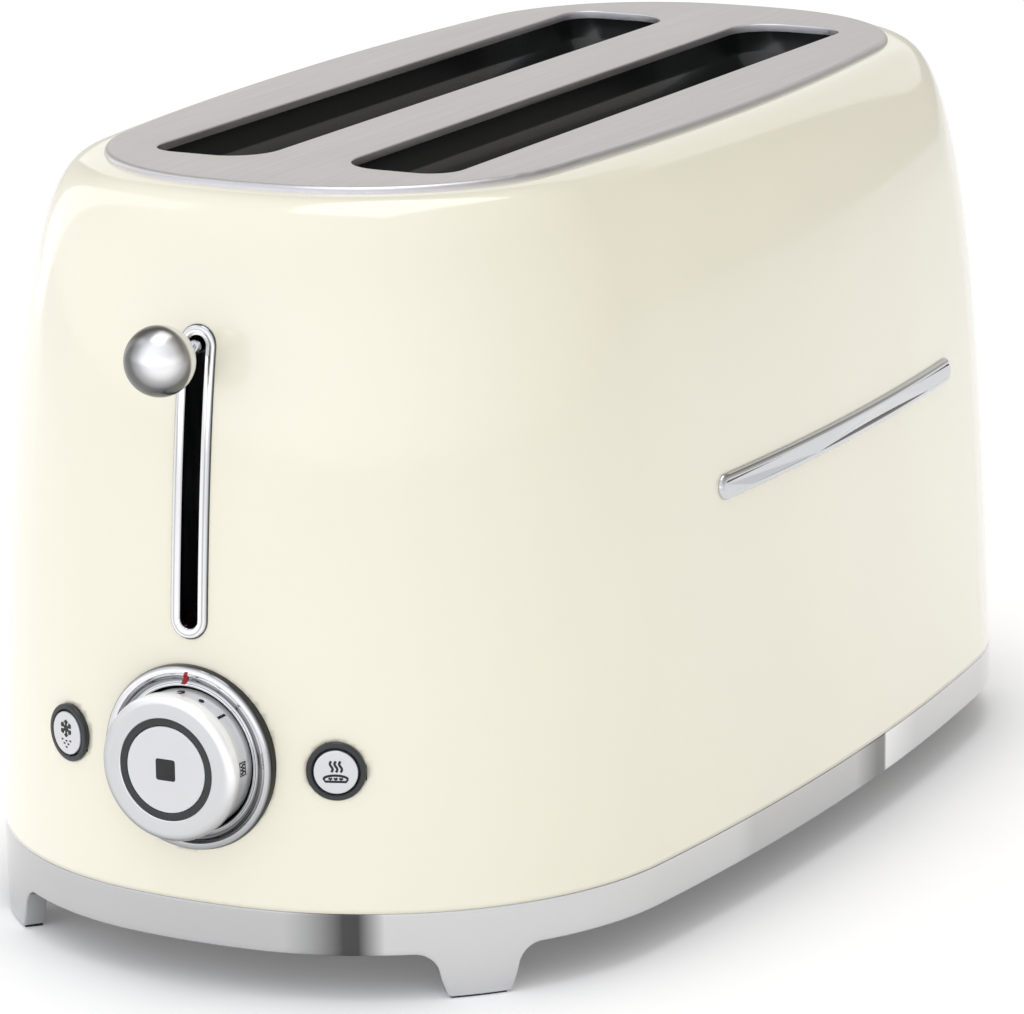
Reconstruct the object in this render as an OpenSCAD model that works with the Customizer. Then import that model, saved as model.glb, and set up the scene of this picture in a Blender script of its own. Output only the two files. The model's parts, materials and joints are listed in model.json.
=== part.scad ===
// Pop up toaster with two long bread slots, drawn as an assembly of separate pieces.
// Millimetres, +Z up. X is the length: the lever and knob are on the -X end, the trim bar on the -Y side.
// The origin is on the resting surface, under the middle of the whole object.

/* [Body] */
// Half the body's length
half_len = 189; // [186:1:194]
// Half the body's width
half_wid = 103; // [101:1:107]
// Height of the top plate's upper face
height = 208; // [204:1:214]
// Plan radius of the long sides
side_r = 990; // [900:10:1100]
// Plan radius of the ends, at their middle
end_r = 167; // [150:1:190]
// Plan radius of the corners
corner_r = 90; // [84:1:96]
// How far the shell leans and curves in from its foot to the top plate
lean_in = 32.8; // [31:0.1:34]
// Part of that inset that is a straight lean
lean_part = 0.22; // [0.15:0.01:0.3]
// Thickness of the shell's sheet
skin = 1.2; // [1:0.1:1.6]

/* [Base] */
// Height of the feet under the band
foot_h = 12.5; // [11:0.5:14]
// Height of the band's top edge
band_top = 24; // [23:0.5:26]
// Thickness of the pad under each foot
pad_t = 0.5; // [0.4:0.1:1.4]
// Half the width of the crumb tray
tray_half = 54; // [48:1:56]

/* [Bread slots] */
// Length of a bread slot
slot_len = 254; // [240:1:258]
// Width of a bread slot
slot_wid = 33.4; // [31:0.1:34]
// Distance of a slot's middle from the centre line
slot_y = 28.7; // [28:0.1:29.5]
// Corner radius of a slot
slot_r = 13; // [10:0.5:15]

/* [Controls] */
// Height of the knob's axis
knob_z = 62; // [60:0.5:64]
// Radius of the knob's cap
knob_r = 19.6; // [18:0.1:20]
// Outer radius of the knob's bezel
bezel_r = 24.9; // [24:0.1:26]
// Distance of a small button from the centre line
button_y = 40; // [38:0.5:42]
// Height of the lever at rest
lever_z = 169; // [167:0.5:170]
// Travel of the lever
lever_travel = 70; // [64:1:70]
// Width of the lever's slot
lever_slot_w = 5.2; // [5:0.1:5.6]
// Radius of the lever's ball
ball_r = 9.2; // [8:0.1:10]
// How far the ball's centre stands out from the middle of the body
ball_x = 196.4; // [196:0.2:198]

/* [Hidden] */

$fn = 48;
ball_front = ball_x + ball_r;
mid_shift = (ball_front - half_len) / 2;
band_t = 1.2;
plate_t = 1.2;
cover_t = 1.4;
cover_z = foot_h + 1.2;
// Gap between fixed pieces, and round a piece that turns or slides
fit_gap = 0.3;
run_gap = 0.05;

// chassis
plate_x = 143;
sheet_t = 1;
chassis_z0 = 26;
chassis_z1 = 184;
chassis_half = 66;

// heaters
board_y_inner = 5;
board_y_outer = 52.4;
board_z0 = 46;
board_z1 = 172;
board_half = 132;
wire_rows = 9;

// guide cages
cage_y = 14;
cage_z0 = 40;
cage_z1 = 168;
cage_wire_r = 0.8;
cage_rod_r = 1.2;
cage_wires = 9;

// bread racks
rack_z = 116;
rack_half_wid = 5;

// mechanism in the front compartment
rod_x = 160;
rod_r = 3;
bush_h = 14;
bracket_x = 152;
magnet_z = 96;
stem_r = 2;
collar_r = 4.9;
collar_at = 7;
spring_y = -15;

// control board
board_x = 170;
board_t = 1.6;

// knob, in distances out along -X
cap_front = 199;
cap_back = 194.2;
drum_r = 18.6;
dark_r = 13.7;
disc_r = 11.6;
shaft_r = 3;
bore_r = 1.8;

button_r = 5.8;
ring_r = 7.8;
trim_z = 117;

function corner_solve(a = half_len, b = half_wid) =
    let (side_c = [0, b - side_r], end_c = [a - end_r, 0],
         r1 = side_r - corner_r, r2 = end_r - corner_r,
         gap = norm(end_c - side_c), u = (end_c - side_c) / gap,
         along = (r1 * r1 - r2 * r2 + gap * gap) / (2 * gap),
         across = sqrt(r1 * r1 - along * along))
    side_c + u * along + [u[1], -u[0]] * across;

corner_c = corner_solve();
end_angle = atan2(corner_c[1], corner_c[0] - (half_len - end_r));
side_angle = atan2(corner_c[1] - (half_wid - side_r), corner_c[0]);

// Points of the outline at an inset d, one quarter and all of it
function quarter(d, n = 10) = concat(
    [let (r = end_r - d) [half_len - end_r + r * cos(end_angle / 2), r * sin(end_angle / 2)]],
    [for (i = [0:n]) let (t = end_angle + (side_angle - end_angle) * i / n, r = corner_r - d)
        corner_c + r * [cos(t), sin(t)]],
    [for (i = [1:3]) let (t = side_angle + (90 - side_angle) * i / 3, r = side_r - d)
        [0, half_wid - side_r] + r * [cos(t), sin(t)]]);
function flip(points, sx, sy) = [for (p = points) [sx * p[0], sy * p[1]]];
function backwards(points) = [for (i = [len(points) - 1:-1:0]) points[i]];
function inner(points) = [for (i = [0:len(points) - 2]) points[i]];
function outline(d) = let (q = quarter(d), r = backwards(inner(q))) concat(
    q, flip(r, -1, 1), flip(q, -1, -1), flip(r, 1, -1));

// The shell's inset and height along its profile, t from 0 at its foot to 1 at the top plate
shell_top = height - 1.6;
function rise(t) = pow(pow(sin(90 * t), 2), 1 / 3);
function profile(t) = [
    lean_in * (lean_part * rise(t) + (1 - lean_part) * (1 - pow(pow(cos(90 * t), 2), 1 / 3))),
    band_top + (shell_top - band_top) * rise(t)];
function slope(t) = profile(min(t + 0.01, 1)) - profile(max(t - 0.01, 0));
function sunk(t, d) = let (s = slope(t), n = [s[1], -s[0]] / norm(s)) profile(t) + d * n;
profile_steps = 14;
// The shell's inset at a height
function inset_at(z) =
    let (h = min(max((z - band_top) / (shell_top - band_top), 0), 1))
    lean_in * (lean_part * h + (1 - lean_part) * (1 - pow(1 - pow(h, 3), 1 / 3)));

// Puts the middle of the whole object over the origin: the lever stands out at one end
module centred() {
    translate([mid_shift, 0, 0]) children();
}

// One arc of a ring that follows the outline, its points given as [inset, height]
module arc_piece(centre, radius, from, to, points, segments = 120) {
    translate([centre[0], centre[1], 0]) rotate([0, 0, from])
        rotate_extrude(angle = to - from, $fn = segments)
            polygon([for (p = points) [radius - p[0], p[1]]]);
}

module ends_ring(points) {
    for (s = [0, 180])
        rotate([0, 0, s])
            arc_piece([half_len - end_r, 0], end_r, -end_angle, end_angle, points);
}

module corners_ring(points) {
    for (sx = [0, 1], sy = [0, 1])
        mirror([sx, 0, 0]) mirror([0, sy, 0])
            arc_piece(corner_c, corner_r, end_angle, side_angle, points);
}

module sides_ring(points) {
    for (s = [0, 180])
        rotate([0, 0, s])
            arc_piece([0, half_wid - side_r], side_r, side_angle, 180 - side_angle, points, 720);
}

// Flat-sided skin through copies of the outline, one for each [inset, height] point:
// closed on itself as a tube, or capped at both ends as a solid
module outline_skin(points, capped) {
    count = len(outline(0));
    rings = len(points);
    last = capped ? rings - 2 : rings - 1;
    vertices = [for (p = points) for (q = outline(p[0])) [q[0], q[1], p[1]]];
    walls = [for (i = [0:last], j = [0:count - 1])
        let (a = i * count, b = ((i + 1) % rings) * count, k = (j + 1) % count)
        [a + j, b + j, b + k, a + k]];
    caps = capped ? [[for (j = [0:count - 1]) j],
        [for (j = [count - 1:-1:0]) (rings - 1) * count + j]] : [];
    polyhedron(vertices, concat(walls, caps));
}

// A slab that follows the outline at an inset
module outline_slab(d, z0, z1) {
    translate([0, 0, z0]) linear_extrude(z1 - z0) polygon(outline(d));
}

module rounded_2d(l, w, r) {
    square([l - 2 * r, w], center = true);
    square([l, w - 2 * r], center = true);
    for (sx = [-1, 1], sy = [-1, 1])
        translate([sx * (l / 2 - r), sy * (w / 2 - r)]) circle(r);
}

module box(x0, x1, y0, y1, z0, z1) {
    translate([x0, y0, z0]) cube([x1 - x0, y1 - y0, z1 - z0]);
}

// A rod along X, Y or Z
module x_rod(r, x0, x1, y, z) {
    translate([x0, y, z]) rotate([0, 90, 0]) cylinder(r = r, h = x1 - x0);
}

module z_rod(r, z0, z1, x, y) {
    translate([x, y, z0]) cylinder(r = r, h = z1 - z0);
}

module y_rod(r, y0, y1, x, z) {
    translate([x, y0, z]) rotate([-90, 0, 0]) cylinder(r = r, h = y1 - y0);
}

// Turned pieces of the knob: the points are [radius, distance out along -X]
module turned(points) {
    translate([0, 0, knob_z]) rotate([0, -90, 0]) rotate_extrude() polygon(points);
}

// Places a piece on the bowed end at a side's button, its own +Z pointing out of the face
button_turn = asin((button_y - corner_c[1]) / (corner_r - inset_at(knob_z)));
button_face = [-(corner_c[0] + (corner_r - inset_at(knob_z)) * cos(button_turn)), button_y];
module at_button(side) {
    translate([button_face[0], side * button_face[1], knob_z])
        rotate([0, 0, -side * button_turn]) rotate([0, -90, 0]) children();
}

// Upright slot with round ends that the lever's stem runs in, made larger by grow all round
slot_bottom = lever_z - lever_travel - 2 * stem_r + 1.3;
slot_top = lever_z + stem_r + 0.8;
module lever_slot(grow) {
    long = slot_top - slot_bottom + 2 * grow;
    wide = lever_slot_w + 2 * grow;
    translate([-half_len - 5.4, 0, (slot_bottom + slot_top) / 2]) rotate([0, 90, 0])
        linear_extrude(40) rounded_2d(long, wide, wide / 2 - 0.01);
}

// Outer shell
module body_shell() {
    outer = [for (i = [0:profile_steps]) profile(i / profile_steps)];
    inside = [for (i = [profile_steps:-1:0]) sunk(i / profile_steps, skin)];
    foot = [[skin, band_top]];
    centred() color("#f3eede") difference() {
        outline_skin(concat(outer, [[lean_in + 3, shell_top], [lean_in + 3, shell_top - skin]],
            inner(inside), foot), false);
        x_rod(bezel_r - 1.3, -half_len - 5, -half_len + 30, 0, knob_z);
        lever_slot(1.4);
        for (side = [-1, 1])
            at_button(side) translate([0, 0, -15]) cylinder(r = ring_r - 1, h = 30);
    }
}

// Top plate with its rolled-down edge
lip_r = 1.6;
module top_plate() {
    edge = lean_in - 0.6;
    lip = [for (i = [0:5]) let (t = 90 * i / 5)
        [edge + lip_r * (1 - cos(t)), height - lip_r * (1 - sin(t))]];
    centred() color("silver") difference() {
        outline_skin(concat([[edge + plate_t, height - plate_t], [edge + plate_t, shell_top]], lip),
            true);
        for (s = [-1, 1])
            translate([0, s * slot_y, height - 5]) linear_extrude(10)
                rounded_2d(slot_len, slot_wid, slot_r);
    }
}

// Chromed base band with four flared feet.
// The feet stand on the corners, turned by foot_turn
foot_turn = 45;
foot_top_w = 34;
foot_low_w = 17;
foot_t = 6;
// A foot seen square on, with its fillets up to the band
module foot_outline() {
    fillet = 6;
    half_top = foot_top_w / 2;
    half_low = foot_low_w / 2;
    side = [for (i = [0:5]) let (t = 90 * i / 5)
        [half_low + 2.6 + fillet * (1 - cos(90 - t)), foot_h - fillet + fillet * sin(t) + 0.01]];
    right = concat([[half_low, pad_t]], side, [[half_top, foot_h + 1]]);
    polygon(concat(right, backwards(flip(right, -1, 1))));
}

module at_corner(sx, sy) {
    mirror([sx, 0, 0]) mirror([0, sy, 0])
        translate([corner_c[0], corner_c[1], 0]) rotate([0, 0, foot_turn]) children();
}

module base_band() {
    centred() color("lightgray") {
        difference() {
            outline_skin([[0, foot_h], [0, band_top], [band_t, band_top],
                [band_t, foot_h + band_t], [8, foot_h + band_t], [8, foot_h]], false);
            box(half_len - 60, half_len + 10, -tray_half - fit_gap, tray_half + fit_gap,
                foot_h + band_t, band_top + 1);
            x_rod(gland_r, half_len - 40, half_len + 5, gland_y, gland_z);
        }
        for (sx = [0, 1], sy = [0, 1])
            intersection() {
                outline_skin([[0, pad_t], [0, foot_h + 0.6], [foot_t, foot_h + 0.6],
                    [foot_t, pad_t]], false);
                at_corner(sx, sy) translate([60, 0, 0]) rotate([90, 0, 90])
                    linear_extrude(45) foot_outline();
            }
    }
}

// Soft pads under the feet
module foot_pads() {
    centred() color("#303030")
        for (sx = [0, 1], sy = [0, 1])
            intersection() {
                corners_ring([[0.8, 0], [0.8, pad_t], [foot_t - 0.4, pad_t], [foot_t - 0.4, 0]]);
                at_corner(sx, sy) box(60, 100, -foot_low_w / 2 + 1, foot_low_w / 2 - 1, -1, 3);
            }
}

// Plastic cover under the body
module bottom_cover() {
    centred() color("#3a3a3a") difference() {
        outline_slab(band_t + fit_gap, cover_z, cover_z + cover_t);
        for (x = [-90:20:90], y = [-84, 84])
            translate([x, y, foot_h]) linear_extrude(10) rounded_2d(3, 14, 1.4);
        box(half_len - 12, half_len + 5, -tray_half - fit_gap, tray_half + fit_gap, 0, 40);
    }
}

// Posts under the body that spare cord is wound on
module cord_wrap_posts() {
    centred() color("#3a3a3a")
        for (x = [-70, 70]) {
            box(x - 6, x + 6, -14, 14, foot_h - 5, cover_z);
            box(x - 6 + sign(x) * 5, x + 6 + sign(x) * 5, -16, 16, foot_h - 7.5, foot_h - 5);
        }
}

// Gland in the band at the +X end where the cord comes in
gland_y = -64;
gland_z = 19.65;
gland_r = 4.1;
cord_r = 3.2;
module cord_gland() {
    gx = corner_c[0] + sqrt(pow(corner_r, 2) - pow(-gland_y - corner_c[1], 2));
    centred() color("#222222") difference() {
        union() {
            x_rod(gland_r, gx - 14, gx + 4, gland_y, gland_z);
            x_rod(gland_r + 0.4, gx - 14, gx - 11, gland_y, gland_z);
        }
        x_rod(cord_r, gx - 30, gx + 10, gland_y, gland_z);
    }
}

// Block inside the +X end that the supply wires are clamped in
module terminal_block() {
    x0 = plate_x + sheet_t / 2;
    centred() color("ivory") difference() {
        box(x0, x0 + 12, -62, -38, 56, 68);
        for (y = [-56, -50, -44])
            x_rod(1.6, x0 - 1, x0 + 14, y, 62);
    }
}

// Sheet at each end of the bread chamber
module chassis_plate(x) {
    centred() color("#b8bcc0") difference() {
        union() {
            box(x - sheet_t / 2, x + sheet_t / 2, -chassis_half, chassis_half, chassis_z0, chassis_z1);
            for (y = [-chassis_half + 2, chassis_half - 14])
                box(min(x, x + sign(x) * 8), max(x, x + sign(x) * 8), y, y + 12,
                    chassis_z0, chassis_z0 + sheet_t);
        }
        for (s = [-1, 1]) {
            box(x - 5, x + 5, s * slot_y - 1.6, s * slot_y + 1.6,
                rack_z - lever_travel - 6, rack_z + 14);
            for (c = [-1, 1])
                x_rod(cage_rod_r + run_gap, x - 5, x + 5, s * slot_y + c * cage_y, cage_z0);
        }
    }
    centred() color("#b8bcc0")
        for (y = [-chassis_half + 6.2, chassis_half - 6.2])
            z_rod(3, cover_z + cover_t, chassis_z0, x + sign(x) * 4, y);
}

// Sheet down each long side of the bread chamber, s = -1 or 1
module heat_shield(s) {
    y = s * chassis_half;
    centred() color("#c4c6c8")
        box(-plate_x + sheet_t / 2, plate_x - sheet_t / 2, min(y, y - s * sheet_t),
            max(y, y - s * sheet_t), chassis_z0, chassis_z1 - 4);
}

// Sheet between the two bread slots
module centre_divider() {
    centred() color("#c4c6c8")
        box(-plate_x + sheet_t / 2, plate_x - sheet_t / 2, -sheet_t / 2, sheet_t / 2,
            cage_z0, chassis_z1);
}

// Dark collar under a slot's edge
liner_z0 = 176;
module slot_liner(s) {
    centred() color("#1c1c1c") difference() {
        translate([0, s * slot_y, liner_z0]) linear_extrude(height - plate_t - liner_z0)
            rounded_2d(slot_len + 2, slot_wid + 2, slot_r + 1);
        translate([0, s * slot_y, liner_z0 - 1]) linear_extrude(height)
            rounded_2d(slot_len, slot_wid, slot_r);
    }
}

// Sheet of mica that carries a heater, standing on two legs
module heater_board(y) {
    centred() color("#d9cfb4")
        box(-board_half, board_half, y - 0.3, y + 0.3, board_z0, board_z1);
    centred() color("#d9cfb4")
        for (x = [-board_half + 10, board_half - 10])
            box(x - 4, x + 4, y - 0.3, y + 0.3, chassis_z0 + 8, board_z0);
}

// Flat heating ribbon wound over a board: one strip for each turn's face
module heater_wire(y, face) {
    pitch = (board_z1 - board_z0 - 20) / (wire_rows - 1);
    centred() color("#9a8f86")
        for (i = [0:wire_rows - 1])
            box(-board_half + 6, board_half - 6, min(y + face * 0.3, y + face * 0.6),
                max(y + face * 0.3, y + face * 0.6), board_z0 + 9 + i * pitch,
                board_z0 + 11 + i * pitch);
}

// Rails on the bottom cover that hold the crumb tray
tray_z0 = cover_z + cover_t + fit_gap;
module tray_rails() {
    centred() color("#c4c6c8")
        for (s = [-1, 1]) {
            y = s * (tray_half + 0.6);
            box(-150, 165, min(y, y + s), max(y, y + s), cover_z + cover_t, band_top - 0.5);
            box(-150, 165, min(y - s * 3, y + s), max(y - s * 3, y + s), band_top - 0.5, band_top + 0.5);
        }
}

// Fixed frame that holds the guide rod, the magnet and the spring
module mechanism_frame() {
    x0 = -plate_x - sheet_t / 2;
    centred() color("#b8bcc0") difference() {
        union() {
            box(-rod_x - 5, x0, -19, 7, 186, 188);
            box(-rod_x - 5, x0, -6, 22.5, 72, 74);
            box(-rod_x - 5, x0, -22.5, -4, 70, 72);
            box(x0 - 1, x0, -19, 7, 180, 186);
            box(x0 - 1, x0, -24, 24, 60, 74);
        }
        z_rod(rod_r, 60, 200, -rod_x, 0);
    }
}

module guide_rod() {
    centred() color("silver") z_rod(rod_r, 71, 189, -rod_x, 0);
}

// Holding magnet that keeps the carriage down
module magnet_core() {
    centred() color("#6b6e72") {
        box(-rod_x - 4, -rod_x + 4, 9, 22, 74, 78);
        box(-rod_x - 4, -rod_x + 4, 9, 12, 78, magnet_z);
        box(-rod_x - 4, -rod_x + 4, 19, 22, 78, magnet_z);
    }
}

module magnet_coil() {
    centred() color("#b5692b") difference() {
        box(-rod_x - 5, -rod_x + 5, 7.6, 13.4, 79, magnet_z - 3);
        box(-rod_x - 4, -rod_x + 4, 9, 12, 70, 100);
    }
}

// Contacts that the carriage closes at the bottom of its travel
module contact_block() {
    centred() color("#2b2b2b") box(-rod_x - 4, -rod_x + 5, -22, -10, 72, 84);
    centred() color("#c98c4a")
        for (y = [-19.5, -14])
            box(-rod_x - 2, -rod_x + 3, y, y + 1.5, 84, 87);
}

// Timer board behind the knob, with what stands on it
module control_board() {
    centred() color("#2f6b3c") difference() {
        box(-board_x - board_t, -board_x, -50, 50, 34, 88);
        x_rod(shaft_r + 0.6, -board_x - 5, -board_x + 5, 0, knob_z);
        for (y = [-46, 46], z = [38, 84])
            x_rod(1.6, -board_x - 5, -board_x + 5, y, z);
    }
}

pot_front = 179;
module potentiometer() {
    centred() color("#3d4c5c") difference() {
        union() {
            x_rod(9, -pot_front + 2, -board_x - board_t, 0, knob_z);
            x_rod(5, -pot_front, -pot_front + 2, 0, knob_z);
        }
        x_rod(shaft_r + run_gap, -pot_front - 5, -board_x - board_t - 2.5, 0, knob_z);
        x_rod(shaft_r - 0.6, -pot_front - 5, -board_x + 5, 0, knob_z);
    }
}

module button_switches() {
    centred() color("#1e1e1e") {
        x_rod(2.3, -board_x - board_t - 0.8, -board_x + 2, 0, knob_z);
        for (s = [-1, 1])
            box(-board_x - board_t - 2.4, -board_x - board_t, s * 37.5 - 3, s * 37.5 + 3,
                knob_z - 3, knob_z + 3);
    }
}

module relay() {
    centred() color("#2c3f66") box(-board_x, -board_x + 12, -44, -28, 42, 58);
}

module transformer() {
    centred() color("#c9a23c") box(-board_x, -board_x + 14, 18, 42, 41, 63);
    centred() color("#3b3b3b") box(-board_x + 3, -board_x + 11, 16, 44, 47, 57);
}

module board_standoffs() {
    centred() color("silver")
        for (y = [-46, 46], z = [38, 84])
            x_rod(2.6, -board_x, -plate_x - sheet_t / 2, y, z);
    centred() color("silver")
        for (y = [-46, 46], z = [38, 84])
            x_rod(1.6, -board_x - board_t - 1, -board_x, y, z);
}

// Dished chrome ring round the knob
bezel_front = 188.6;
module knob_bezel() {
    centred() color("gainsboro") turned([
        [bezel_r - 1.4, 183], [bezel_r - 1.4, 185.2], [bezel_r, 185.2], [bezel_r, bezel_front - 1],
        [bezel_r - 0.4, bezel_front - 0.3], [bezel_r - 1.1, bezel_front],
        [bezel_r - 2, bezel_front - 0.4], [bezel_r - 3.1, bezel_front - 1.6],
        [bezel_r - 4, bezel_front - 1.6], [bezel_r - 4.6, bezel_front - 0.8],
        [bezel_r - 5.2, bezel_front - 0.8], [bezel_r - 5.6, bezel_front - 1.4],
        [bezel_r - 5.6, 183]]);
}

// Mark on the bezel that the knob's scale is read against
module pointer_mark() {
    centred() color("crimson") intersection() {
        turned([[bezel_r - 5, bezel_front - 0.8], [bezel_r - 1.4, bezel_front - 0.8],
            [bezel_r - 1.4, bezel_front + 0.3], [bezel_r - 5, bezel_front + 0.3]]);
        box(-200, -180, -0.7, 0.7, knob_z, knob_z + 40);
    }
}

// Thin rim round the lever's slot
module lever_slot_bezel() {
    rim = [for (z = [slot_bottom - 5:5:slot_top + 8]) [inset_at(z) - 0.9, z]];
    back = backwards([for (p = rim) [p[0] + 2.1, p[1]]]);
    centred() color("gainsboro") difference() {
        intersection() {
            ends_ring(concat(rim, back));
            lever_slot(2.9);
        }
        lever_slot(0);
    }
}

// Dark collar round a small button
module button_ring(side) {
    centred() color("#3a3c3e") at_button(side) difference() {
        union() {
            translate([0, 0, -3]) cylinder(r = ring_r - 1, h = 3.5);
            translate([0, 0, -0.6]) cylinder(r = ring_r, h = 1.7);
        }
        translate([0, 0, -5]) cylinder(r = button_r + 0.15, h = 10);
    }
}

module push_button(side) {
    centred() color("gainsboro") at_button(side) {
        translate([0, 0, -1.4]) cylinder(r = button_r, h = 2.8);
        translate([0, 0, -5.2]) cylinder(r = 1.5, h = 4);
    }
}

// Slim bar on the -Y side
module side_trim_bar() {
    face = [for (z = [trim_z - 6:4:trim_z + 6]) [inset_at(z) - 1.4, z]];
    back = backwards([for (p = face) [p[0] + 1.4, p[1]]]);
    centred() color("gainsboro") intersection() {
        sides_ring(concat(face, back));
        translate([10, -half_wid - 5, trim_z]) rotate([-90, 0, 0])
            linear_extrude(30) rounded_2d(160, 7, 3.4);
    }
}

module cover_screws() {
    centred() color("silver")
        for (x = [-120, 120], y = [-70, 70])
            z_rod(3, cover_z - 1.6, cover_z, x, y);
}

// Coil of round wire that follows a helix
module coil(r, wire_r, z0, z1, turns) {
    sides = 6;
    steps = 12;
    count = turns * steps;
    points = [for (i = [0:count], j = [0:sides - 1])
        let (t = 360 * i / steps, p = 360 * j / sides, rr = r + wire_r * cos(p))
        [rr * cos(t), rr * sin(t), z0 + (z1 - z0) * i / count + wire_r * sin(p)]];
    walls = [for (i = [0:count - 1], j = [0:sides - 1])
        let (k = (j + 1) % sides, a = i * sides, b = (i + 1) * sides)
        [a + j, b + j, b + k, a + k]];
    polyhedron(points, concat([[for (j = [0:sides - 1]) j]], walls,
        [[for (j = [sides - 1:-1:0]) count * sides + j]]));
}

module return_spring() {
    centred() color("silver") translate([-rod_x, spring_y, 0]) coil(3.2, 0.45, 163.2, 185.2, 11);
}

// Moving carriage
module carriage_bracket() {
    z1 = lever_z + 7;
    centred() color("#a9adb1") {
        difference() {
            union() {
                box(-bracket_x - 0.6, -bracket_x + 0.6, -34, 34, lever_z - 9, z1);
                for (s = [-1, 1])
                    box(-bracket_x - 0.6, -bracket_x + 0.6, s * slot_y - 5, s * slot_y + 5,
                        rack_z - 6, z1);
                z_rod(6, lever_z - 9, lever_z - 9 + bush_h, -rod_x, 0);
                box(-rod_x, -bracket_x, -5, 5, lever_z - 9, lever_z - 9 + bush_h);
                box(-rod_x - 4, -bracket_x, spring_y - 4, spring_y + 4, lever_z - 9, lever_z - 7);
                box(-rod_x - 4, -bracket_x, 9, 22, lever_z - 1, lever_z + 1);
            }
            z_rod(rod_r + run_gap, 100, 200, -rod_x, 0);
        }
    }
}

// Stem of the lever with the collar that its ball sits on
module lever_arm() {
    centred() color("silver") {
        x_rod(stem_r, -ball_x + 4, -rod_x - 5.9, 0, lever_z);
        x_rod(collar_r, -ball_x + collar_at, -ball_x + collar_at + 1.4, 0, lever_z);
    }
}

module lever_ball() {
    centred() color("gainsboro") difference() {
        translate([-ball_x, 0, lever_z]) sphere(ball_r);
        x_rod(stem_r, -ball_x + 4, -ball_x + 20, 0, lever_z);
        box(-ball_x + collar_at, -ball_x + 20, -ball_r, ball_r, lever_z - ball_r, lever_z + ball_r);
    }
}

// Plate on the carriage that the magnet holds
module armature_plate() {
    z0 = magnet_z + lever_travel + fit_gap;
    centred() color("#6b6e72") box(-rod_x - 4, -rod_x + 4, 9, 22, z0, lever_z - 1);
}

// Bar with cross wires that carries the bread in one slot
module bread_rack(s) {
    y = s * slot_y;
    centred() color("#8d9094") {
        box(-bracket_x + 0.6, plate_x + 4, y - 0.6, y + 0.6, rack_z - 4, rack_z + 4);
        for (x = [-120:20:120])
            y_rod(1, y - rack_half_wid, y + rack_half_wid, x, rack_z + 4);
    }
}

// Knob
module knob_cap() {
    centred() color("gainsboro") turned([
        [shaft_r, 186.6], [drum_r, 186.6], [drum_r, cap_back], [knob_r - 0.6, cap_back],
        [knob_r, cap_back + 0.8], [knob_r, cap_front - 1.6], [knob_r - 0.5, cap_front - 0.5],
        [knob_r - 1.6, cap_front], [dark_r, cap_front], [dark_r, cap_front - 0.6],
        [disc_r + 0.2, cap_front - 0.6], [disc_r + 0.2, cap_front - 4.4], [shaft_r, cap_front - 4.4]]);
}

module knob_shaft() {
    centred() color("silver") turned([
        [bore_r, pot_front - 4.6], [shaft_r, pot_front - 4.6], [shaft_r, cap_front - 4.4],
        [bore_r, cap_front - 4.4]]);
}

module stop_button() {
    centred() color("gainsboro") turned([
        [0, board_x + board_t + 3.1], [bore_r - 0.1, board_x + board_t + 3.1],
        [bore_r - 0.1, cap_front - 2], [disc_r, cap_front - 2], [disc_r, cap_front - 0.4],
        [disc_r - 0.3, cap_front], [0, cap_front]]);
}

// Crumb tray
module crumb_tray() {
    z1 = band_top - 1.2;
    t = 0.8;
    centred() color("#c4c6c8") difference() {
        box(-146, 150, -tray_half + fit_gap, tray_half - fit_gap, tray_z0, z1);
        box(-146 + t, 150 - t, -tray_half + fit_gap + t, tray_half - fit_gap - t, tray_z0 + t, z1 + 1);
    }
}

module crumb_tray_front() {
    z1 = band_top - 1.2;
    centred() color("lightgray") {
        intersection() {
            outline_skin([[0, tray_z0], [0, z1], [2, z1], [2, tray_z0]], false);
            box(half_len - 40, half_len + 5, -tray_half + fit_gap, tray_half - fit_gap, 0, 40);
        }
        box(150, half_len - 1.8, -20, 20, tray_z0, tray_z0 + 0.8);
    }
}

// Wire cage that closes on the bread, hinged on its lower rod
module guide_cage(s, c) {
    y = s * slot_y + c * cage_y;
    centred() color("#b8bcc0") {
        x_rod(cage_rod_r, -plate_x - 2, plate_x + 2, y, cage_z0);
        x_rod(cage_rod_r, -116, 116, y, cage_z1);
        for (i = [0:cage_wires - 1])
            z_rod(cage_wire_r, cage_z0, cage_z1, -112 + i * 224 / (cage_wires - 1), y);
    }
}

body_shell();
top_plate();
base_band();
foot_pads();
bottom_cover();
cord_wrap_posts();
cord_gland();
terminal_block();
chassis_plate(-plate_x);  // front_chassis_plate
chassis_plate(plate_x);  // rear_chassis_plate
heat_shield(1);  // left_heat_shield
heat_shield(-1);  // right_heat_shield
centre_divider();
slot_liner(1);  // left_slot_liner
slot_liner(-1);  // right_slot_liner
heater_board(board_y_outer);  // left_outer_heater_board
heater_board(board_y_inner);  // left_inner_heater_board
heater_board(-board_y_inner);  // right_inner_heater_board
heater_board(-board_y_outer);  // right_outer_heater_board
heater_wire(board_y_outer, -1);  // left_outer_heater_wire
heater_wire(board_y_inner, 1);  // left_inner_heater_wire
heater_wire(-board_y_inner, -1);  // right_inner_heater_wire
heater_wire(-board_y_outer, 1);  // right_outer_heater_wire
tray_rails();
mechanism_frame();
guide_rod();
magnet_core();
magnet_coil();
contact_block();
control_board();
potentiometer();
button_switches();
relay();
transformer();
board_standoffs();
knob_bezel();
pointer_mark();
lever_slot_bezel();
button_ring(1);  // defrost_button_ring
button_ring(-1);  // bagel_button_ring
side_trim_bar();
cover_screws();
return_spring();
carriage_bracket();
lever_arm();
lever_ball();
armature_plate();
bread_rack(1);  // left_bread_rack
bread_rack(-1);  // right_bread_rack
knob_cap();
knob_shaft();
stop_button();
push_button(1);  // defrost_button
push_button(-1);  // bagel_button
crumb_tray();
crumb_tray_front();
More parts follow.
